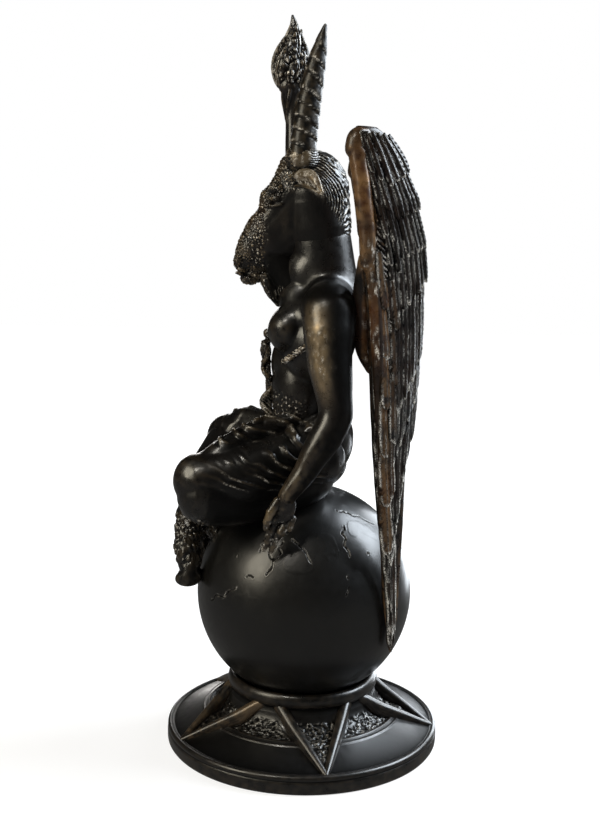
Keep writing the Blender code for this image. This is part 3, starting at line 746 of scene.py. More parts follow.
def headClay():
    clay = newClay()
    ball(clay, (0, -3, 293), (15.2, 16.8, 19.8))
    ball(clay, (0, 3, 290), (17.6, 17.2, 22.2))
    tube(clay, [(0, 3, 286, 17.4), (0, 5, 272, 16.6)], sides=48)
    tube(clay, [(0, -8, 290, 14.4), (0, -19.6, 276, 11.4), (0, -28.8, 263, 9.2), (0, -32.6, 255.5, 7.3)],
        sides=48, steps=8)
    # cheeks and jaw, layer under layer
    for down, share in ((4, 0.99), (8, 0.97), (12, 0.92), (16, 0.84), (19, 0.75)):
        rows = [(-8, 290, 14.6), (-18.5, 277, 12.2), (-26.8, 265.5, 9.8), (-31.2, 257, 7.4)]
        tube(clay, [(0, y + 0.72 * down * k, z - 0.62 * down * k, r * share)
            for (y, z, r), k in zip(rows, (1.0, 0.85, 0.5, 0.3))], sides=48, steps=8)
    ball(clay, (0, -9, 303), (9, 8, 8))
    ball(clay, (0, -30.0, 248.0), (5.4, 6.4, 4.4), (18, 0, 0))  # lower lip and chin
    tube(clay, [(0, -18, 258, 8.5), (0, -11, 249, 9.5), (0, -4, 238, 11)], sides=40)  # throat
    for side in (-1, 1):
        ball(clay, (side * 4.6, -36.6, 256), (3.3, 3.0, 3.6), (-30, 0, side * 20))  # nostril wing
        ball(clay, (side * 3.6, -35.4, 250.6), (3.9, 3.2, 2.5), (20, 0, 0))  # upper lip
        ball(clay, (side * 9.6, -15.6, 291.6), (5.0, 5.4, 3.0), (-10, 0, side * 24))  # brow
        ball(clay, (side * 11.6, -16.8, 286.9), (2.6, 3.0, 2.3))  # eye
        # lower lid
        tube(clay, [(side * 9.6, -21.5, 284.2, 1.0), (side * 12.0, -18.6, 283.2, 1.2),
            (side * 13.3, -14.0, 284.2, 1.0)])
        ball(clay, (side * 10.5, -4, 307), (8.6, 8.6, 8.0))  # horn boss
    for lock in range(10):  # beard
        a = math.radians(36 * lock)
        x, y = 3.8 * math.cos(a), 3.2 * math.sin(a)
        tube(clay, [(x, -22.5 + y, 248, 1.6), (x, -19.4 + y, 242, 1.5), (x * 0.7, -17.0 + y * 0.7, 237, 1.3),
            (x * 0.3, -15.6 + y * 0.2, 232.8, 0.6)], sides=10, steps=5)
    tube(clay, [(0, -22.0, 247, 4.2), (0, -19.0, 240, 3.6), (0, -16.2, 234.5, 1.5)], sides=20)
    return clay


def addEar(clay, side):
    spine = smoothRows([(12.5, -9.0, 295.8), (19, -4.2, 296.6), (25.5, 1.8, 294.6), (30.5, 7.6, 287.6)], 10)
    widths = smoothRows([(3.6,), (4.6,), (4.6,), (0.9,)], 10)[:, 0]
    ahead = unit(np.gradient(spine, axis=0))
    down = np.array([-0.1, -0.30, -0.95])
    down = unit(down - ahead * (ahead @ down)[:, None])
    out = unit(np.cross(down, ahead))
    count = 26
    angle = np.arange(count) * 2 * math.pi / count
    lid = np.cos(angle)
    dish = 1.5 * bump(lid + 0.30, 0.5) - 1.5 * bump(lid - 0.42, 0.33) + 0.5 * bump(lid - 0.95, 0.16)
    lift = np.where(np.sin(angle) > 0, 0.75, -0.9) * np.abs(np.sin(angle)) ** 0.7
    share = np.minimum(widths / 4.0, 1.0)
    points = spine[:, None] + down[:, None] * (lid[None] * widths[:, None])[..., None]
    points = points + out[:, None] * (dish[None] * share[:, None] + lift[None])[..., None]
    points = np.vstack([points.reshape(-1, 3), spine[0], spine[-1]]) * np.array([side, 1, 1])
    addForm(clay, points, capped(len(spine), count))


def carveHead(points, faces):
    normals = normalsOf(points, faces)
    x, y, z = points.T
    away = np.abs(x)
    ears = fade(away, 16.5, 18.0) * fade(z, 284, 286)
    hair = fade(z + 1.55 * (y - 8) - 288, -3, 3) * fade(y, -7, -1) * (1 - ears)
    cheekGap = np.hypot((y + 6) / 17.5, (z - 273) / 19.5)
    cheek = fade(1 - cheekGap, -0.10, 0.22) * fade(away, 6, 9)
    throat = fade(265 - z, -2, 3) * fade(y, -25, -20)
    face = fade(-y, 1, 8) * (1 - cheek) * (1 - hair) * (1 - ears) * (1 - throat) * fade(z, 239, 242)
    curls = fade(pebbles(points * np.array([1, 1, 0.85]), headFacts["curl"], 11), 0.03, 0.55)
    ring = np.hypot((y + 2.5) * 1.08, z - 284.5) + 0.30 * away
    strands = np.sin(2 * math.pi * (ring + 0.35 * grain(points, 2.6, 21)) / headFacts["hairGap"])
    dashes = fade(grain(points, 1.5, 22), -0.35, 0.25)
    height = headFacts["curlDepth"] * (curls - 0.5) * face
    height += headFacts["hairDepth"] * strands * (0.3 + 0.7 * dashes) * hair
    ahead = fade(-normals[:, 1], 0.15, 0.7) * fade(13 - away, 0, 5)
    height += ahead * (1.5 * bump(z - 290, 3.0) - 1.4 * bump(z - 282.8, 3.4))
    beardLines = np.sin(2 * math.pi * (x * 0.8 + y * 0.7 + 0.6 * grain(points, 3.0, 23)) / 1.5)
    beard = fade(244 - z, 0, 3) * fade(-y, 9, 12)
    height += 0.22 * beardLines * beard
    mouth = bump((z - 249.4) + (y + 35) * 0.40, 0.7) * fade(-y, 26, 30) * fade(z, 243, 246)
    height -= 1.0 * mouth
    for side in (-1, 1):
        nostril = ((x - side * 5.4) / 1.2) ** 2 + ((y + 38.6) / 1.7) ** 2 + ((z - 255.4) / 1.4) ** 2
        height -= 1.3 * np.exp(-nostril)
        socket = ((x - side * 12) / 4.0) ** 2 + ((y + 18.5) / 5.2) ** 2 + ((z - 286.9) / 3.4) ** 2
        lid = ((x - side * 13) / 3.4) ** 2 + ((y + 18.5) / 3.2) ** 2 + ((z - 286.9) / 2.2) ** 2
        height -= 0.75 * np.exp(-socket) * (1 - np.exp(-lid))
    points = points + normals * height[:, None]
    # painted glints on the curls, hair strands and beard
    speckle = fade(grain(points, 1.1, 31), -0.15, 0.35)
    fleck = 0.95 * fade(curls, 0.62, 0.95) * face * speckle * fade(grain(points, 5.5, 33), -0.45, 0.2)
    fleck += 0.95 * fade(strands, 0.35, 0.85) * dashes * hair * fade(grain(points, 2.2, 32), -0.6, 0.1)
    fleck += 0.5 * fade(beardLines, 0.6, 1.0) * beard * speckle
    # painted light: the top of each ear is warmer, gold and glinting, while its lower half stays dark
    lit = ears * fade(z + 0.62 * (y + 2), 291.5, 293.0)
    tone = 0.25 + 0.6 * lit + 0.45 * face
    fleck = fleck * (1 - ears) + 0.55 * lit * speckle
    polish = 0.42 * lit + 0.14 * face * fade(grain(points, 4.0, 34), 0.0, 0.5)
    polish += 0.10 * bump(y + 11.5, 5, z - 275, 8) * fade(grain(points, 3.0, 35), -0.5, 0.3)
    # painted shade: the throat and the cheeks are kept dark and without reflections, except on the ears and
    # hair
    dull = np.maximum(0.9 * throat * fade(262 - z, 0, 4), 0.45 * cheek) * (1 - ears) * (1 - hair)
    return points, {"fleck": fleck, "tone": tone, "polish": polish, "dull": dull}


def makeHead():
    clay = headClay()
    points, faces = fuse(clay, headFacts["voxel"], 9)
    earClay = newClay()
    addEar(earClay, 1)
    addEar(earClay, -1)
    earPoints, earFaces = fuse(earClay, headFacts["voxel"], 2)
    parts = newClay()
    addForm(parts, points, faces)
    addForm(parts, earPoints, earFaces)
    points, masks = carveHead(np.vstack(parts["points"]), parts["faces"])
    makePiece("goatHead", points, parts["faces"], "figure_bronze", "figure", 0.20, keep=headFacts["keep"],
        **masks)


makeHead()


# horns

hornFacts = {"stations": 170, "sides": 36, "rings": 9.5, "ringDepth": 0.13, "slant": 0.42}
# share of the length, radius
hornShape = [(0, 7.2), (0.2, 6.9), (0.47, 6.3), (0.62, 5.6), (0.75, 4.7), (0.88, 3.2), (0.96, 1.8),
    (1.0, 0.7)]


def makeHorn(side, name):
    stations, sides = hornFacts["stations"], hornFacts["sides"]
    t = np.linspace(0, 1, stations)
    sway = -1.2 * t - 3.0 * np.sin(math.pi * t) if side < 0 else 0 * t
    path = np.stack([side * (10.5 + 9.0 * t), -4 + 11 * t ** 1.5 + sway, 305 + 65 * t], axis=1)
    ahead, across, up = sweepFrames(path, (1.0, 0.0, 0.0))
    angle = np.arange(sides) * 2 * math.pi / sides
    phase = (t[:, None] * hornFacts["rings"] * (1.15 - 0.15 * t[:, None])
        + hornFacts["slant"] * np.sin(angle - 0.5)[None])
    phase = phase + 0.12 * grain(np.repeat(path, sides, axis=0), 6.0, 71).reshape(stations, sides)
    saw = phase - np.floor(phase)
    ring = fade(saw, 0.0, 0.22) * (1 - 0.55 * fade(saw, 0.3, 1.0)) - 0.5
    ring = ring * (1 - fade(t, 0.84, 0.95))[:, None]
    taper = relaxLine(np.interp(t, *zip(*hornShape)), 60)
    oval = 1 + 0.06 * np.cos(2 * angle)
    radius = taper[:, None] * oval[None] * (1 + hornFacts["ringDepth"] * ring)
    around = across[:, None] * np.cos(angle)[None, :, None] + up[:, None] * np.sin(angle)[None, :, None]
    points = (path[:, None] + around * radius[:, :, None]).reshape(-1, 3)
    points = np.vstack([points, path[0], path[-1] + ahead[-1] * 0.4])
    points[:-2] += (unit(points[:-2] - np.repeat(path, sides, axis=0))
        * (0.14 * grain(points[:-2] * np.array([1.6, 1.6, 0.6]), 1.3, 3))[:, None])
    rim = np.concatenate([(fade(saw, 0.06, 0.2) * (1 - fade(saw, 0.24, 0.42))).ravel(), [0, 0]])
    body = np.concatenate([(fade(saw, 0.2, 0.4) * (1 - fade(saw, 0.8, 1.0))
        * (1 - fade(t, 0.7, 0.86))[:, None]).ravel(), [0, 0]])
    # painted glints along the edges of the rings; the whole horn is made duller and darker, with weaker
    # reflections
    fleck = 0.7 * rim * fade(grain(points, 1.2, 5), 0.1, 0.4)
    polish = 0.022 * body * fade(grain(points, 3.2, 6), -0.1, 0.4)
    makePiece(name, points, capped(stations, sides), "figure_bronze", "figure", 0.25, tone=0.18, dull=0.5,
        fleck=fleck, polish=polish)


makeHorn(1, "hornLeft")
makeHorn(-1, "hornRight")


# torch

torchFacts = {"voxel": 0.36, "tongues": 7, "keep": 0.5}


def makeTorch():
    clay = newClay()
    tube(clay, [(0, -7, 304, 6.2), (0, -8.6, 314, 4.9), (0, -9.3, 328, 4.2), (0, -10.2, 338, 4.2),
        (0, -11.4, 345, 5.4)], sides=32)
    tube(clay, [(-4, -2, 304, 6.5), (-3, -4.5, 322, 5.0), (-2, -6.5, 340, 4.4), (-1, -7.5, 352, 4.5)],
        sides=32)
    for k in range(6):  # twisted reeds of the stem
        rows = []
        for step in range(9):
            t = step / 8
            a = math.radians(60 * k + 120 * t)
            reach = 4.6 - 1.5 * math.sin(math.pi * min(1, t * 1.1))
            rows.append((reach * math.cos(a), -8.4 - 2.6 * t + reach * math.sin(a), 308 + 34 * t, 1.0))
        tube(clay, rows, sides=10, steps=4)
    for k in range(torchFacts["tongues"]):
        a = math.radians(360 * k / torchFacts["tongues"] + 100)
        tall = 21 + 5 * math.sin(k * 2.3)
        rows = []
        for step in range(7):
            t = step / 6
            spin = a + 1.1 * t
            reach = 4.4 * math.sin(math.pi * (0.28 + 0.62 * t)) + 0.6
            rows.append((reach * 0.85 * math.cos(spin), -11.6 + reach * 1.12 * math.sin(spin),
                345.5 + tall * t, 3.5 * math.sin(math.pi * (0.22 + 0.76 * t)) + 0.35))
        tube(clay, rows, sides=14, steps=5)
    tube(clay, [(0, -11.6, 345, 6.0), (0, -11.2, 356, 7.0), (0, -10.4, 366, 4.8), (0.6, -9.8, 374, 2.2),
        (0, -10.6, 379.0, 0.8)], sides=24)
    tube(clay, [(0, -5.4, 352, 2.8), (0.5, -3.8, 360, 2.0), (0.2, -6.2, 369, 1.0), (0, -6.0, 372, 0.5)],
        sides=12)
    points, faces = fuse(clay, torchFacts["voxel"], 3)
    normals = normalsOf(points, faces)
    x, y, z = points.T
    turn = np.arctan2(y + 11, x)
    flame = fade(z, 343, 346) * fade(379 - z, 0, 5)
    slope = np.abs(relax(normals, faces, 14)[:, 0])
    licks = np.sin(2 * math.pi * (3.4 * slope + 0.35 * grain(points, 4.0, 7)) + 0.4 * np.sin(turn * 2))
    rim = fade(0.80 - slope, -0.08, 0.10)
    curls = fade(pebbles(points * np.array([1, 1, 0.7]), 2.3, 15), 0.03, 0.5)
    height = flame * (0.42 * licks * rim + 0.85 * (curls - 0.5) * (1 - rim))
    points = points + normals * height[:, None]
    # painted glints on the flame's curls and licks
    fleck = 0.95 * flame * fade(curls, 0.7, 1.0) * (1 - rim) * fade(grain(points, 1.3, 17), -0.1, 0.35)
    fleck += 0.9 * flame * fade(licks, 0.55, 0.95) * rim * fade(grain(points, 1.6, 18), -0.5, 0.1)
    makePiece("torch", points, faces, "figure_bronze", "figure", 0.20, keep=torchFacts["keep"], tone=0.35,
        fleck=fleck)


makeTorch()


# torso and arms

bodyFacts = {"voxel": 0.56, "bead": 1.45, "beadDepth": 0.6, "keep": 0.36}
handFacts = {"voxel": 0.32, "keep": 0.45}


def torsoClay():
    clay = newClay()
    ball(clay, (0, 3.5, 213), (27.5, 18.5, 27))
    ball(clay, (0, -1.5, 189), (20.8, 17.6, 30))
    ball(clay, (0, 4, 160), (32, 20.5, 19))
    ball(clay, (0, 10, 230), (31, 14.5, 15))  # shoulders
    ball(clay, (0, 12, 222), (26, 14, 26))  # back
    ball(clay, (0, 0, 226), (25, 14, 17))  # upper chest
    ball(clay, (0, -5, 235), (17, 11, 13))
    ball(clay, (0, -4, 203), (17, 15.4, 20))
    tube(clay, [(-33, 11, 229, 11.5), (-18, 11.5, 235, 12.5), (18, 11.5, 235, 12.5), (33, 11, 229, 11.5)],
        sides=48)
    tube(clay, [(0, 12, 230, 18), (0, 8.5, 248, 16.6), (0, 5.6, 268, 15.8)], sides=64, steps=10)
    ball(clay, (0, 3.0, 250), (15.6, 16.2, 17))  # neck's front
    ball(clay, (0, 2.5, 236), (15.6, 15.0, 15))
    for side in (-1, 1):
        # trapezius
        tube(clay, [(side * 8, 10, 239, 9), (side * 20, 11.2, 236.4, 10.6), (side * 32, 11.8, 233.4, 12.2),
            (side * 39, 12.2, 227, 13.2)], sides=40)
        ball(clay, (side * 13.2, -9.4, 221), (12.0, 10.8, 12.6))  # breast
        ball(clay, (side * 14.4, -19.7, 218.5), (1.7, 1.3, 1.7))
        ball(clay, (side * 19, 16, 224), (13, 10.2, 21))  # shoulder blade
        ball(clay, (side * 12, 12, 195), (9.5, 8.5, 27))  # back muscle
        ball(clay, (side * 10, 10, 163), (20, 15, 17))
    return clay


def loweredArm(clay):
    tube(clay, [(29, 11.6, 234, 12.2), (36.5, 12, 231.2, 13.6), (41.6, 12.3, 222, 12.8),
        (44.2, 12.8, 210, 11.2), (46, 15.0, 193, 9.6), (48, 17.3, 181, 8.3)], sides=48, steps=8)
    ball(clay, (40, 12, 229), (12.6, 13.6, 13.8))
    ball(clay, (34.5, 11.5, 231.5), (15.5, 14.2, 14.5), (0, 22, 0))  # shoulder cap
    ball(clay, (44.5, 11.0, 208), (8.6, 9.4, 17), (6, -8, 0))  # biceps
    ball(clay, (48.5, 18.6, 181), (6.4, 6.0, 8.0))  # elbow
    tube(clay, [(48, 17.3, 181, 8.4), (50.2, 12.2, 171, 8.6), (51.5, 7.8, 164, 7.8), (52.7, 1.4, 152.8, 6.0),
        (53.3, -5.0, 143.6, 4.7), (53.3, -6.6, 140.5, 4.5)], sides=48, steps=8)


def raisedArm(clay):
    tube(clay, [(-31, 12, 231, 11.5), (-38.0, 12, 227, 12.5), (-45, 11, 212, 10.8), (-52, 8, 197, 9.0),
        (-55, 6, 189, 7.8)], sides=48, steps=8)
    ball(clay, (-34.5, 11.5, 231.5), (15.5, 14.0, 14.5), (0, -22, 0))
    ball(clay, (-47, 9.5, 209), (8.2, 8.6, 15), (0, 22, 0))
    tube(clay, [(-55, 6, 189, 7.8), (-56.3, 3, 199, 7.8), (-55, -1, 214, 5.9), (-53, -3.6, 226, 4.5),
        (-52, -4.4, 233, 4.3)], sides=48, steps=8)


def addFingers(clay, fingers):
    for finger in fingers:
        tube(clay, finger, sides=20, steps=6)
        for x, y, z, r in finger[1:3]:
            ball(clay, (x, y, z), (r * 1.1, r * 1.1, r * 1.05))  # knuckle


def handsClay():
    clay = newClay()
    tube(clay, [(53.3, -4.6, 144.2, 4.5), (53.2, -6.6, 140.2, 4.3), (53, -7.8, 137, 4.4)], sides=32)
    ball(clay, (53, -8.4, 135.2), (3.7, 6.2, 8.4), (-26, 0, 0))  # back of the hand
    ball(clay, (54.2, -11.6, 131.0), (3.0, 3.2, 3.6), (-30, 0, 0))
    addFingers(clay, [
        [(53.0, -11.6, 129.4, 2.4), (53.6, -13.6, 124.4, 2.1), (53.4, -15.6, 119.4, 1.9),
            (52.8, -17.2, 115.4, 1.5)],
        [(52.4, -8.8, 128.6, 2.4), (53.2, -10.8, 122.6, 2.1), (52.6, -12.6, 117.4, 1.8),
            (51.8, -13.6, 114.2, 1.4)],
        [(52.6, -6.4, 129.0, 2.4), (54.6, -8.4, 124.8, 2.2), (52.0, -10.0, 122.2, 1.9),
            (49.4, -9.6, 124.8, 1.6)],
        [(52.0, -3.8, 130.6, 2.3), (53.8, -5.4, 126.4, 2.1), (51.4, -6.8, 124.6, 1.8),
            (49.0, -6.6, 126.8, 1.5)],
        [(54.6, -10.4, 139.6, 2.5), (56.6, -13.6, 134.6, 2.2), (56.4, -15.4, 129.8, 1.9),
            (55.4, -16.0, 126.4, 1.5)],
    ])
    tube(clay, [(-53, -3.6, 228, 4.4), (-52, -4.3, 233, 4.3), (-51.6, -4.6, 236, 4.4)], sides=32)
    ball(clay, (-51.4, -4.6, 240), (3.8, 6.6, 8.6), (6, 0, 0))
    addFingers(clay, [
        [(-51.0, -8.2, 245, 2.5), (-50.6, -9.2, 252, 2.2), (-50.2, -9.6, 259, 2.0), (-50, -9.7, 264.5, 1.5)],
        [(-51.0, -4.4, 246, 2.5), (-50.6, -4.6, 254, 2.3), (-50.2, -4.8, 261.5, 2.0), (-50, -4.9, 267, 1.5)],
        [(-51.4, -0.8, 245.0, 2.4), (-51.8, -0.8, 250, 2.2), (-48.8, -0.8, 251, 1.9),
            (-47.0, -0.8, 247.4, 1.6)],
        [(-51.4, 2.2, 243.0, 2.2), (-51.8, 2.4, 247.4, 2.1), (-48.8, 2.4, 248.6, 1.8),
            (-47.0, 2.4, 245.4, 1.5)],
        [(-50.6, -8.4, 236.6, 2.5), (-47.6, -10.4, 241.4, 2.2), (-46.0, -8.2, 245.6, 1.9),
            (-45.8, -5.4, 247.6, 1.5)],
    ])
    return clay


def carveTorso(points, faces):
    normals = normalsOf(points, faces)
    x, y, z = points.T
    beads = fade(pebbles(points * np.array([1, 1, 0.9]), bodyFacts["bead"], 31), 0.04, 0.55)
    belly = (fade(191 - 0.25 * (y + 15) - z, 0, 4) * fade(z, 160, 164) * fade(-y, -2, 2)
        * fade(30 - np.abs(x), 0, 3))
    height = bodyFacts["beadDepth"] * (beads - 0.5) * belly
    height -= 0.9 * bump(x, 1.6, z - 197, 2.2) * (y < -10)  # navel
    height += 0.03 * grain(points, 1.2, 13)
    arm = fade(x, 34, 40)
    points = points + normals * height[:, None]
    # painted glints on the belly's beads
    bright = fade(grain(points, 1.0, 14), -0.1, 0.3)
    fleck = 0.95 * belly * fade(beads, 0.7, 1.0) * bright
    # painted highlight: a gold band down the upper arm where its surface turns toward the warm lamp, with
    # brighter spots and glints on it, and a faint painted sheen on the forearm's side toward that lamp
    front = arm * bump(normals[:, 1] + 0.42, 0.36) * fade(normals[:, 0], 0.25, 0.6)
    band = front * fade(z, 182, 200) * fade(240 - z, 0, 14)
    gold = bump(z - 220, 4) + 0.9 * bump(z - 207, 6.5)
    polish = 0.62 * band + 0.75 * band * gold * fade(grain(points, 1.8, 15), -0.35, 0.25)
    fleck += 0.8 * band * gold * fade(grain(points, 1.1, 16), 0.3, 0.5)
    polish += 0.10 * arm * fade(170 - z, 0, 12) * fade(-normals[:, 1], -0.2, 0.5)
    # painted shade: the arm's back toward the window lamp and the shoulder tops are kept dark and without
    # reflections
    dull = 0.9 * fade(x, 18, 30) * fade(normals[:, 1], -0.15, 0.35) * fade(242 - z, 0, 6)
    dull = np.maximum(dull, 0.9 * fade(z, 233, 238) * fade(np.abs(x), 12, 18) * fade(248.5 - z, 0, 1.2))
    return points, {"fleck": fleck, "polish": polish, "dull": dull,
        "tone": 0.2 + 0.3 * arm * fade(178 - z, 0, 20)}


def makeTorso():
    clay = torsoClay()
    loweredArm(clay)
    raisedArm(clay)
    points, faces = fuse(clay, bodyFacts["voxel"], 14)
    soft = relax(points, faces, 130)
    x, z = points[:, 0], points[:, 2]
    shoulder = fade(z, 222, 230) * fade(np.abs(x), 9, 16)
    elbow = fade(np.abs(x), 38, 42) * fade(z, 150, 158) * fade(198 - z, 0, 8)
    points = points + (soft - points) * np.maximum(shoulder, elbow)[:, None]
    points, masks = carveTorso(points, faces)
    makePiece("torsoArms", points, faces, "figure_bronze", "figure", 0.5, rounds=24, keep=bodyFacts["keep"],
        **masks)


def makeHands():
    points, faces = fuse(handsClay(), handFacts["voxel"], 5)
    x, y, z = points.T
    points = points + normalsOf(points, faces) * (0.05 * grain(points, 1.1, 18))[:, None]
    lowered = fade(x, 30, 40)
    glow = bump(y + 15, 3.6, z - 133, 6) + 0.25 * fade(122 - z, 0, 4)
    polish = 0.65 * glow * lowered * fade(grain(points, 2.4, 19), -0.5, 0.2)
    # painted glints on the lower hand
    fleck = 0.5 * fade(grain(points, 0.9, 20), 0.45, 0.65) * fade(135 - z, 0, 10) * lowered
    makePiece("hands", points, faces, "figure_bronze", "figure", 0.16, rounds=12, keep=handFacts["keep"],
        tone=0.25, polish=polish, fleck=fleck)


makeTorso()
makeHands()


# twisted cord under the breast, on both sides

cordFacts = {"width": 1.15, "twist": 2.6}


def makeCord():
    parts = newClay()
    for side in (-1, 1):
        route = smoothRows([(side * 20.0, -11.4, 204.6, 1.0), (side * 23.6, -7.6, 207.6, 1.0),
            (side * 26.2, -3.2, 210.6, 1.0), (side * 27.6, 1.6, 213.6, 1.0)], 16)
        path = route[:, :3]
        _, across, up = sweepFrames(path)
        long = np.concatenate([[0], np.cumsum(np.linalg.norm(np.diff(path, axis=0), axis=1))])
        for strand in range(3):
            a = 2 * math.pi * (long / (cordFacts["twist"] * 3) + strand / 3)
            offset = across * np.cos(a)[:, None] + up * np.sin(a)[:, None]
            rows = np.hstack([path + offset * cordFacts["width"] * 0.75,
                np.full((len(path), 1), cordFacts["width"] * 0.72)])
            tube(parts, rows, sides=12, steps=1)
    points = np.vstack(parts["points"])
    # painted glints along the cord
    fleck = 0.85 * fade(grain(points, 0.9, 19), -0.1, 0.3)
    makePiece("waistCord", points, parts["faces"], "figure_bronze", "figure", 0.15, tone=0.7, fleck=fleck)


makeCord()


# staff with two snakes

staffFacts = {"voxel": 0.34, "low": 168.0, "high": 219.5, "turns": 2.0, "depth": -21.4, "keep": 0.5}


def makeStaff():
    clay = newClay()
    low, high, depth = staffFacts["low"], staffFacts["high"], staffFacts["depth"]
    tube(clay, [(0, depth + 2.0, low - 4, 1.9), (0, depth + 0.6, (low + high) / 2, 1.6),
        (0, depth, high - 2, 1.4)], sides=16)
    ball(clay, (0, depth, high - 1.2), (2.6, 2.4, 2.6))
    ball(clay, (0, depth + 0.1, high - 5.2), (3.4, 2.4, 1.1))
    tube(clay, [(0, depth - 0.6, 214, 1.2), (0, depth - 1.6, 210, 2.4), (0, depth - 1.6, 205.5, 1.5)],
        sides=14)
    ball(clay, (0, depth - 0.6, 203.4), (3.2, 3.0, 1.1))
    for side in (-1, 1):
        rows = []
        for step in range(41):
            t = step / 40
            a = math.pi * (0.5 + 2 * staffFacts["turns"] * t)
            reach = 4.4 - 0.6 * t
            z = low + (high - low - 14) * t
            rows.append((side * reach * math.sin(a), depth + 1.0 * (1 - t) - (3.3 - 1.0 * t) * math.cos(a), z,
                1.15 + 0.55 * math.sin(math.pi * min(1, 0.12 + t))))
        tube(clay, rows, sides=14, steps=4)
        x, y, z, _ = rows[-1]
        tube(clay, [(x, y, z, 1.4), (x * 1.15, depth + 0.4, z + 3.6, 1.4),
            (x * 0.8, depth - 1.4, z + 7.0, 1.9), (x * 0.4, depth - 2.2, z + 8.4, 1.0)], sides=14, steps=4)
    points, faces = fuse(clay, staffFacts["voxel"], 2)
    normals = normalsOf(points, faces)
    beads = fade(pebbles(points, 1.0, 41), 0.03, 0.5)
    points = points + normals * (0.22 * (beads - 0.5))[:, None]
    # painted glints: bright stripes low on the snakes and specks on the beads
    stripes = np.sin(2 * math.pi * (points[:, 2] + 0.9 * points[:, 1]) / 2.1)
    fleck = (0.8 * fade(stripes, 0.35, 0.8) * fade(188 - points[:, 2], 0, 4)
        + 0.7 * fade(beads, 0.8, 1.0) * fade(grain(points, 1.2, 42), 0.0, 0.4))
    makePiece("snakeStaff", points, faces, "figure_bronze", "figure", 0.18, keep=staffFacts["keep"],
        tone=0.45, fleck=fleck)


makeStaff()


# legs and cloth

legFacts = {"voxel": 0.60, "tuft": 2.4, "foldGap": 5.0, "foldDepth": 1.9, "keep": 0.44}


def addThigh(clay, side, lift, back):
    knee = (side * 44, -49 + back, 147 + lift)
    tube(clay, [(side * 20, 4, 157, 17.6), (side * 35, -24 + back / 2, 150 + lift * 0.8, 16.6),
        (*knee, 13.4)], sides=48, steps=8)
    ball(clay, (side * 22, -28, 143 + lift / 2), (24, 27, 17))
    ball(clay, (side * 45, -50.5 + back, 147 + lift), (11.2, 12.8, 13.6))
    below = [(44, -47 + back, 139, 14.5), (34, -32, 137.5, 14.8), (26, -14, 140, 14.2), (20, 2, 146, 14)]
    tube(clay, [(side * x, y, z + lift, r) for x, y, z, r in below], sides=48, steps=8)
    crest = [(14, -6, 171, 7), (28, -23.5, 167, 7.5), (38, -36.5, 161.5, 7.5), (43, -46 + back, 155, 7)]
    rise = {14: -0.6, 28: -0.05, 38: 0.65, 43: 1.0}
    tube(clay, [(side * x, y, z + lift * rise[x], r) for x, y, z, r in crest], sides=32)
    if side < 0:
        return
    # cloth's border
    tube(clay, [(side * 12, -6, 177.5 + lift / 2, 1.7), (side * 27, -23.5, 174.4 + lift, 1.7),
        (side * 37, -36.5, 168.6 + lift, 1.7), (side * 42, -46 + back, 161.6 + lift, 1.3)], sides=16)


def addShin(clay, side, lift, over):
    reach = 3.5 if over else 0.0
    tube(clay, [(side * 38, -49, 144 + lift, 11.4), (side * 16, -53 - reach, 134 + lift / 2, 10.2),
        (-side * 6, -57 - reach, 121, 8.2), (-side * 17, -59.4 - reach / 2, 108, 6.9),
        (-side * 20, -59.2, 98, 6.3)], sides=40, steps=8)
    for toe in (-1, 1):
        x = -side * 20 + toe * 3.3
        tube(clay, [(x, -57.8, 99, 3.6), (x, -58.8, 94, 4.5), (x + toe * 0.2, -59.4, 91.2, 4.8)], sides=20)
        ball(clay, (x, -59.4, 91.0), (4.3, 7.2, 4.6), (6, 0, 0))


def legClay():
    clay = newClay()
    addThigh(clay, 1, 0, 0)
    addThigh(clay, -1, 9, 3)
    addShin(clay, 1, 0, False)
    addShin(clay, -1, 9, True)
    ball(clay, (0, -27, 152), (35.5, 25.7, 13.8))
    ball(clay, (0, -2, 150), (35.7, 23.8, 15))
    ball(clay, (0, -45, 139), (30.5, 11.8, 15.8))
    ball(clay, (2, -46, 124.5), (17, 9.0, 9))
    ball(clay, (0, -47.5, 114), (13, 5.5, 8))
    for swag in range(4):
        drop = 6.5 * swag
        tube(clay, [(-31, -39 - 2.4 * swag, 160 - drop, 2.2), (-5, -46.5 - 2.4 * swag, 149.5 - drop, 2.6),
            (29, -41 - 2.4 * swag, 153 - drop, 2.2)], sides=16)
    for k in (1, 2):  # rolled waist of the cloth, lower at the front
        rows = []
        for step in range(13):
            a = math.radians(-200 + 220 * step / 12)
            rows.append(((23.5 + 2.4 * k) * math.cos(a), -0.5 + (18.0 + 1.6 * k) * math.sin(a),
                170.5 - 4.1 * k + 1.4 * math.sin(a), 2.3))
        tube(clay, rows, sides=14, steps=4)
    return clay


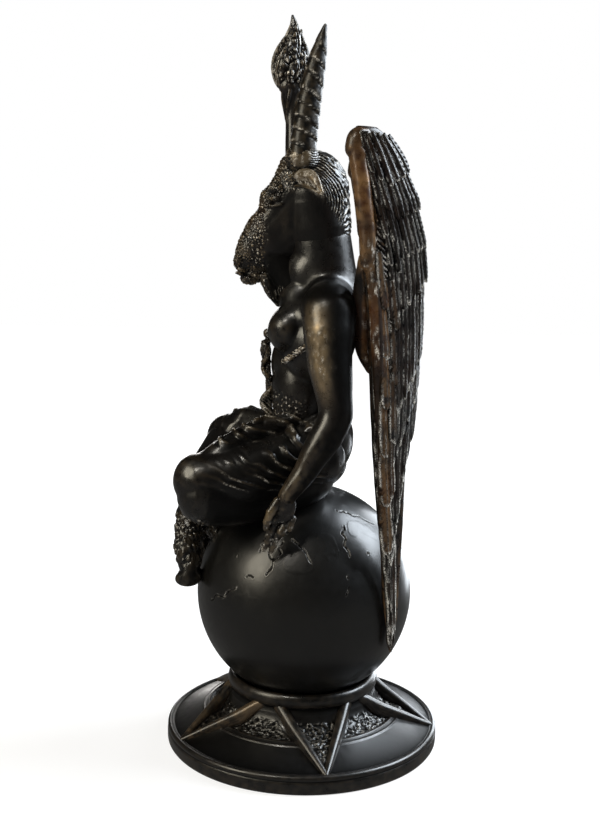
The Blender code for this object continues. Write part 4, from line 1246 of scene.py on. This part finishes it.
def carveLegs(points, faces):
    normals = normalsOf(points, faces)
    x, y, z = points.T
    side = np.sign(x)
    away = np.abs(x)
    high = z - np.where(x < 0, 9.0, 0.0) * fade(-y, 0, 30)
    fur = fade(128 - z + 0.12 * (away - 20), 0, 5) * fade(z, 97.0, 99.5) * fade(-y, 44, 47)
    outer = fade(normals[:, 0] * side, -0.25, 0.25)
    top = fade(high, 142, 150) * fade(-y, -14, -4) * (1 - fur) * outer
    knee = fade(0.62 * away - 0.78 * y, 58, 66)
    warp = 0.75 * grain(points, 14.0, 53) + 0.22 * grain(points, 5.0, 54)
    phase = (0.42 * y + 0.90 * high + 0.18 * away) / legFacts["foldGap"] + warp
    crest = np.sin(2 * math.pi * phase)
    ridge = fade(crest, -0.2, 1.0)
    short = fade(grain(points * np.array([0.6, 0.6, 1.0]), 8.5, 56), -0.45, 0.15)
    height = legFacts["foldDepth"] * (ridge - 0.35) * short * top * (1 - knee)
    fine = np.sin(2 * math.pi * ((0.42 * y + 0.90 * high + 0.18 * away) / 2.3 + 1.3 * warp))
    height += 0.14 * fine * top * fade(grain(points, 7.0, 57), -0.1, 0.4) * (1 - 0.7 * knee)
    turn = np.arctan2(high - 146, -y - 52)
    rays = np.maximum(np.sin(turn * 15 + 1.2 * grain(points, 6.0, 62)), 0) ** 1.5
    creases = rays * fade(-y, 34, 42) * fade(high, 150, 157) * fade(-normals[:, 0] * side, -0.2, 0.5)
    height += 0.5 * creases + 0.07 * grain(points, 6.0, 51) + 0.03 * grain(points, 1.6, 52)
    tufts = fade(pebbles(points * np.array([1, 1, 0.5]), legFacts["tuft"], 55), 0.03, 0.6)
    height += fur * 1.1 * (tufts - 0.45)
    cleft = bump(np.abs(away - 20), 0.7) * fade(97 - z, 0, 2)
    height -= 0.8 * cleft
    points = points + normals * height[:, None]
    reach = points - carvedMiddle
    distance = np.linalg.norm(reach, axis=1)
    inside = distance < globeRadius - 1.0
    points[inside] = (points[inside] + (reach / distance[:, None]
        * (globeRadius - 1.0 - distance)[:, None])[inside])
    # painted glints on the fur tufts toward the warm lamp and on the fold crests, and a painted highlight
    # spot on the knee
    bright = fade(grain(points, 1.3, 58), 0.0, 0.4)
    fleck = 0.85 * fur * fade(tufts, 0.75, 1.0) * bright * fade(-normals[:, 1], -0.2, 0.4)
    fleck += (0.9 * top * short * fade(crest, 0.82, 0.98) * (1 - knee)
        * fade(grain(points, 4.5, 59), -0.1, 0.25) * fade(grain(points, 0.9, 61), -0.4, 0.1))
    fleck += 0.6 * bump(x - 47, 3.2, y + 54, 3.0, z - 153.5, 2.6) * bright
    polish = 0.07 * top * fade(crest, 0.0, 0.8) * short + 0.10 * fur * fade(grain(points, 4.0, 60), 0.1, 0.5)
    tone = 0.10 + 0.10 * top + 0.1 * fur
    # painted shade: the lower side toward the window lamp is kept dark and without reflections
    dull = 0.8 * fade(normals[:, 1], 0.0, 0.4) * fade(x, 20, 30) * fade(176 - z, 0, 8) * fade(-y, -12, 0)
    return points, {"fleck": fleck, "polish": polish, "tone": tone, "dull": dull}


def makeLegs():
    points, faces = fuse(legClay(), legFacts["voxel"], 9)
    points, masks = carveLegs(points, faces)
    makePiece("legsCloth", points, faces, "figure_bronze", "figure", 0.5, rounds=20, keep=legFacts["keep"],
        **masks)


makeLegs()


# wings

wingFacts = {
    "voxel": 0.55, "stations": 50, "across": 13, "under": 5, "barb": 2.6, "barbDepth": 0.12,
    "keep": {1: 0.56, -1: 0.36},
}

# row, then X and Y of the leading edge and X and Y of the trailing edge
wingEdges = np.array([
    (58, 33, 46.2, 33, 46.9),
    (66, 37, 44.2, 35, 47.8),
    (82, 41, 42.6, 36.5, 48.8),
    (100, 41.5, 41.2, 36, 49.4),
    (125, 41.5, 39.2, 33.5, 50.4),
    (155, 42, 36.2, 28, 51.2),
    (186, 43, 34.0, 17, 54.3),
    (215, 43, 32.2, 11, 56.0),
    (243, 44, 29.5, 12, 57.2),
    (262, 45.5, 27.6, 15, 56.4),
    (286, 46, 24.0, 23, 51.3),
    (305, 45, 21.6, 30, 43.7),
    (314, 44.5, 20.5, 35, 38.5),
    (319, 43.5, 24.5, 40, 31.0),
])


def wingPlace(side, share, row, lift=0.0):
    row = np.clip(row, wingEdges[0, 0], wingEdges[-1, 0])
    x0, y0, x1, y1 = (np.interp(row, wingEdges[:, 0], wingEdges[:, k]) for k in (1, 2, 3, 4))
    wide = np.hypot(x1 - x0, y1 - y0)
    bulge = 4 * share * (1 - share) * wide * 0.09 + lift
    outX, outY = (y1 - y0) / wide, (x0 - x1) / wide
    x = x0 + (x1 - x0) * share + outX * bulge
    y = y0 + (y1 - y0) * share + outY * bulge
    points = np.stack([side * x, y, row + 0 * x], axis=-1)
    reach = points - carvedMiddle
    away = np.linalg.norm(reach, axis=-1, keepdims=True)
    return carvedMiddle + reach / away * np.maximum(away, globeRadius + 1.0)


def addFeather(parts, side, root, tip, width, lift, warm):
    stations, across = wingFacts["stations"], wingFacts["across"]
    t = np.linspace(0, 1, stations)
    bow = t ** 1.25
    share = root[0] + (tip[0] - root[0]) * bow
    row = root[1] + (tip[1] - root[1]) * t
    spine = wingPlace(side, share, row, lift + 0.8 * t)
    x0, y0, x1, y1 = (np.interp(row, wingEdges[:, 0], wingEdges[:, k]) for k in (1, 2, 3, 4))
    flat = unit(np.stack([side * (x1 - x0), y1 - y0, 0 * x0], axis=1))
    ahead = unit(np.gradient(spine, axis=0))
    flat = unit(flat - ahead * (flat * ahead).sum(axis=1, keepdims=True))
    out = np.cross(ahead, flat) * side
    out = out * np.sign((out * np.array([side, 0.6, 0])).sum(axis=1, keepdims=True))
    half = width * np.interp(t, [0, 0.3, 0.75, 0.92, 0.975, 1], [0.62, 0.9, 1.0, 0.82, 0.5, 0.08])
    u = np.linspace(-1, 1, across)
    long = np.linalg.norm(np.diff(spine, axis=0), axis=1).sum() * t
    barb = np.sin(2 * math.pi * (long[:, None] - np.abs(u)[None] * half[:, None] * 1.1) / wingFacts["barb"])
    split = bump(np.abs(u)[None] - 0.98, 0.25) * bump(np.sin(long[:, None] * 0.42 + root[1]) - 1, 0.03)
    crown = 0.85 * (1 - u[None] ** 2) ** 0.7 + 0.55 * bump(u[None], 0.14) * (1 - t[:, None]) ** 0.3
    top = crown + wingFacts["barbDepth"] * barb * (1 - bump(u[None], 0.2)) - 0.8 * split
    upper = (spine[:, None] + flat[:, None] * (u[None] * half[:, None])[..., None]
        + out[:, None] * top[..., None])
    back = np.linspace(1, -1, wingFacts["under"])
    lower = spine[:, None] + flat[:, None] * (back[None] * half[:, None])[..., None] - 0.7 * out[:, None]
    loop = np.concatenate([upper, lower], axis=1)
    addForm(parts, np.vstack([loop.reshape(-1, 3), spine[0], spine[-1]]),
        capped(stations, across + wingFacts["under"]))
    # painted glints: bright lines along the feather's edges, tip and shaft
    border = bump(u[None] - 0.83, 0.12) + 0.8 * bump(u[None] + 0.83, 0.12) + fade(t[:, None], 0.94, 0.985)
    border = border + 0.25 * bump(u[None], 0.10)
    border = np.concatenate([np.clip(border, 0, 1), np.zeros((stations, wingFacts["under"]))], axis=1).ravel()
    border = np.concatenate([border, [0, 1]])
    shade = 0.18 + 0.15 * grain(np.array([[root[0] * 40, root[1], 3.0]]), 3.0, 13)[0]
    return np.stack([np.full(len(border), shade + warm), 0.02 + 0.55 * warm + 0 * border, border], axis=1)


def wingSheet(parts, side):
    rows = np.linspace(58.5, 318.0, 90)
    shares = np.linspace(0, 1, 14)
    upper = np.array([[wingPlace(side, s, r, 0.9) for s in shares] for r in rows])
    lower = np.array([[wingPlace(side, s, r, -1.0) for s in shares] for r in rows])
    ridge = 0.35 * np.sin(2 * math.pi * (shares[None] * 5 + rows[:, None] / 40))
    lower = lower - ridge[..., None] * 0.5 * np.array([side, 0.8, 0])
    loop = np.concatenate([upper, lower[:, ::-1]], axis=1)
    addForm(parts, np.vstack([loop.reshape(-1, 3), loop[0].mean(axis=0), loop[-1].mean(axis=0)]),
        capped(len(rows), 28))
    return len(rows) * 28 + 2


# each tier: how many feathers, shares of the first and last, root and tip rows at the leading and trailing
# side, half width, lift
feathers = [
    {"count": 9, "share": (0.06, 0.40), "root": (236, 205), "tip": (118, 60), "width": 3.3, "lift": 0.6},
    {"count": 8, "share": (0.18, 0.98), "root": (214, 240), "tip": (96, 166), "width": 3.5, "lift": 1.0},
    {"count": 9, "share": (0.26, 0.98), "root": (240, 252), "tip": (150, 190), "width": 2.9, "lift": 1.7},
    {"count": 9, "share": (0.28, 0.98), "root": (262, 266), "tip": (176, 208), "width": 2.7, "lift": 2.4},
    {"count": 2, "share": (0.22, 0.36), "root": (256, 256), "tip": (172, 166), "width": 3.6, "lift": 2.2},
    {"count": 6, "share": (0.07, 0.15), "root": (150, 260), "tip": (112, 232), "width": 4.3, "lift": 3.4,
        "warm": 0.55},
    {"count": 4, "share": (0.27, 0.33), "root": (176, 250), "tip": (140, 222), "width": 3.4, "lift": 3.0,
        "warm": 0.2},
    {"count": 8, "share": (0.24, 0.98), "root": (282, 284), "tip": (226, 246), "width": 2.4, "lift": 3.0},
    {"count": 8, "share": (0.24, 0.96), "root": (296, 297), "tip": (254, 263), "width": 2.2, "lift": 3.5},
    {"count": 8, "share": (0.26, 0.96), "root": (307, 307), "tip": (272, 281), "width": 2.0, "lift": 4.0},
    {"count": 5, "share": (0.30, 0.96), "root": (315, 314), "tip": (288, 298), "width": 2.4, "lift": 4.4},
    {"count": 9, "share": (0.19, 0.26), "root": (315, 262), "tip": (303, 246), "width": 2.0, "lift": 4.2},
    {"count": 8, "share": (0.30, 0.36), "root": (313, 268), "tip": (300, 250), "width": 2.1, "lift": 4.6},
]


def wingBone(clay, side):
    def bone(rows, **more):
        tube(clay, [(side * x, y, z, r) for x, y, z, r in rows], **more)
    bone([(41.5, 27.0, 314, 3.8), (43.6, 24.0, 312.5, 4.9), (44.8, 22.9, 307.5, 4.9)], sides=40)
    bone([(45.2, 24.6, 304.5, 4.9), (45.6, 24.8, 301.5, 4.5), (46.4, 26.4, 292, 4.4), (46.9, 27.8, 281, 4.3),
        (46.9, 28.6, 274.0, 4.3)], sides=40, steps=8)
    bone([(46.8, 29.4, 272.0, 3.9), (46.6, 29.8, 262, 4.0), (46.0, 30.2, 253.5, 3.5)], sides=40, steps=8)
    bone([(44.6, 31.4, 254, 3.0), (44.2, 34.0, 236, 3.2), (43.6, 36.2, 205, 3.0), (42.8, 38.0, 165, 2.0),
        (42.0, 39.2, 135, 1.2)], sides=24)
    bone([(42.6, 27.8, 307, 2.4), (42.4, 31.2, 292, 3.0), (42.0, 34.2, 276, 3.4), (42.0, 35.8, 262, 3.4),
        (41.8, 36.8, 248, 3.0)], sides=24, steps=8)
    bone([(18, 29, 222, 10), (26, 33, 229, 8.5), (34, 36, 238, 6), (39, 36, 248, 4)], sides=32)
    bone([(41, 32.5, 203, 2.0), (38, 29.0, 211, 3.2), (34.5, 28, 221, 4.8), (33.5, 28.2, 232, 6),
        (36, 28.6, 244, 5), (42, 29.4, 256, 4)], sides=32)


def makeWing(side, name, node):
    clay = newClay()
    wingBone(clay, side)
    ball(clay, (side * 18, 31, 224), (9.6, 8, 17.5))
    points, faces = fuse(clay, wingFacts["voxel"], 4)
    points[:, 1] = np.where(np.abs(points[:, 0]) < 32, np.maximum(points[:, 1], 26.2), points[:, 1])
    x, y, z = points.T
    edge = np.interp(z, [200, 250, 270, 279, 306, 318], [37.5, 34.6, 34.3, 33.6, 30.8, 29.0])
    arm = fade(z, 204, 212) * fade(edge + 0.5 - y, 0, 0.8) * fade(np.abs(x), 37, 40.5)
    arm = arm * np.maximum(fade(y, 27.4, 28.6), fade(z, 248, 254))
    strip = fade(z, 240, 250) * fade(y - edge, -0.3, 0.3) * fade(316 - z, 0, 6)
    strokes = np.sin(2 * math.pi * (z + 0.9 * y + 0.5 * grain(points, 3.0, 24)) / 2.6)
    points = (points + normalsOf(points, faces)
        * (0.45 * strokes * strip + 0.05 * grain(points, 1.2, 25) * arm)[:, None])
    # painted glints: dots along the wing's arm and strokes on the strip beside it
    dots = fade(grain(points, 1.3, 26), 0.25, 0.5) * fade(grain(points, 6.0, 27), -0.3, 0.3)
    spots = fade(grain(points, 1.6, 28), 0.35, 0.6) * fade(266 - z, 0, 6)
    flecks = 0.8 * dots * arm * fade(y - edge + 2.6, 0, 1.4) + 0.9 * fade(strokes, 0.5, 0.95) * strip
    flecks += 0.5 * arm * (flecks + spots)
    masks = [np.stack([0.25 + 0.75 * arm, arm * armPolish(points), flecks], axis=1)]
    parts = newClay()
    addForm(parts, points, faces)
    masks.append(np.tile([0.1, 0.0, 0.0], (wingSheet(parts, side), 1)))
    for tier in feathers:
        for k in range(tier["count"]):
            t = k / max(1, tier["count"] - 1)
            share = tier["share"][0] + (tier["share"][1] - tier["share"][0]) * t
            root = (share * 0.88, tier["root"][0] + (tier["root"][1] - tier["root"][0]) * t)
            tip = (share, tier["tip"][0] + (tier["tip"][1] - tier["tip"][0]) * t)
            masks.append(addFeather(parts, side, root, tip, tier["width"], tier["lift"] + 0.35 * (k % 2),
                tier.get("warm", 0.0)))
    points = np.vstack(parts["points"])
    masks = np.vstack(masks)
    fleck = masks[:, 2] * fade(grain(points * np.array([1, 1, 0.35]), 1.4, 9), -0.45, 0.0)
    fleck = fleck * fade(grain(points, 9.0, 10), -0.7, 0.0)
    tone = masks[:, 0] + 0.35 * fade(110 - points[:, 2], 0, 40)
    polish = masks[:, 1] * fade(grain(points, 3.0, 11), -0.7, 0.2)
    makePiece(name, points, parts["faces"], "wing_bronze", node, 0.28, rounds=6, keep=wingFacts["keep"][side],
        tone=tone, polish=polish, fleck=fleck)


def armPolish(points):  # the rubbed light patches of the wing's arm
    z = points[:, 2]
    gold = (0.20 + 0.30 * bump(z - 290, 12)
        + 0.35 * fade(grain(points, 4.0, 12), 0.0, 0.4) * fade(305 - z, 0, 3))
    return gold * (0.45 + 0.55 * fade(z, 236, 262))


makeWing(1, "wingLeft", "wing_left")
makeWing(-1, "wingRight", "wing_right")
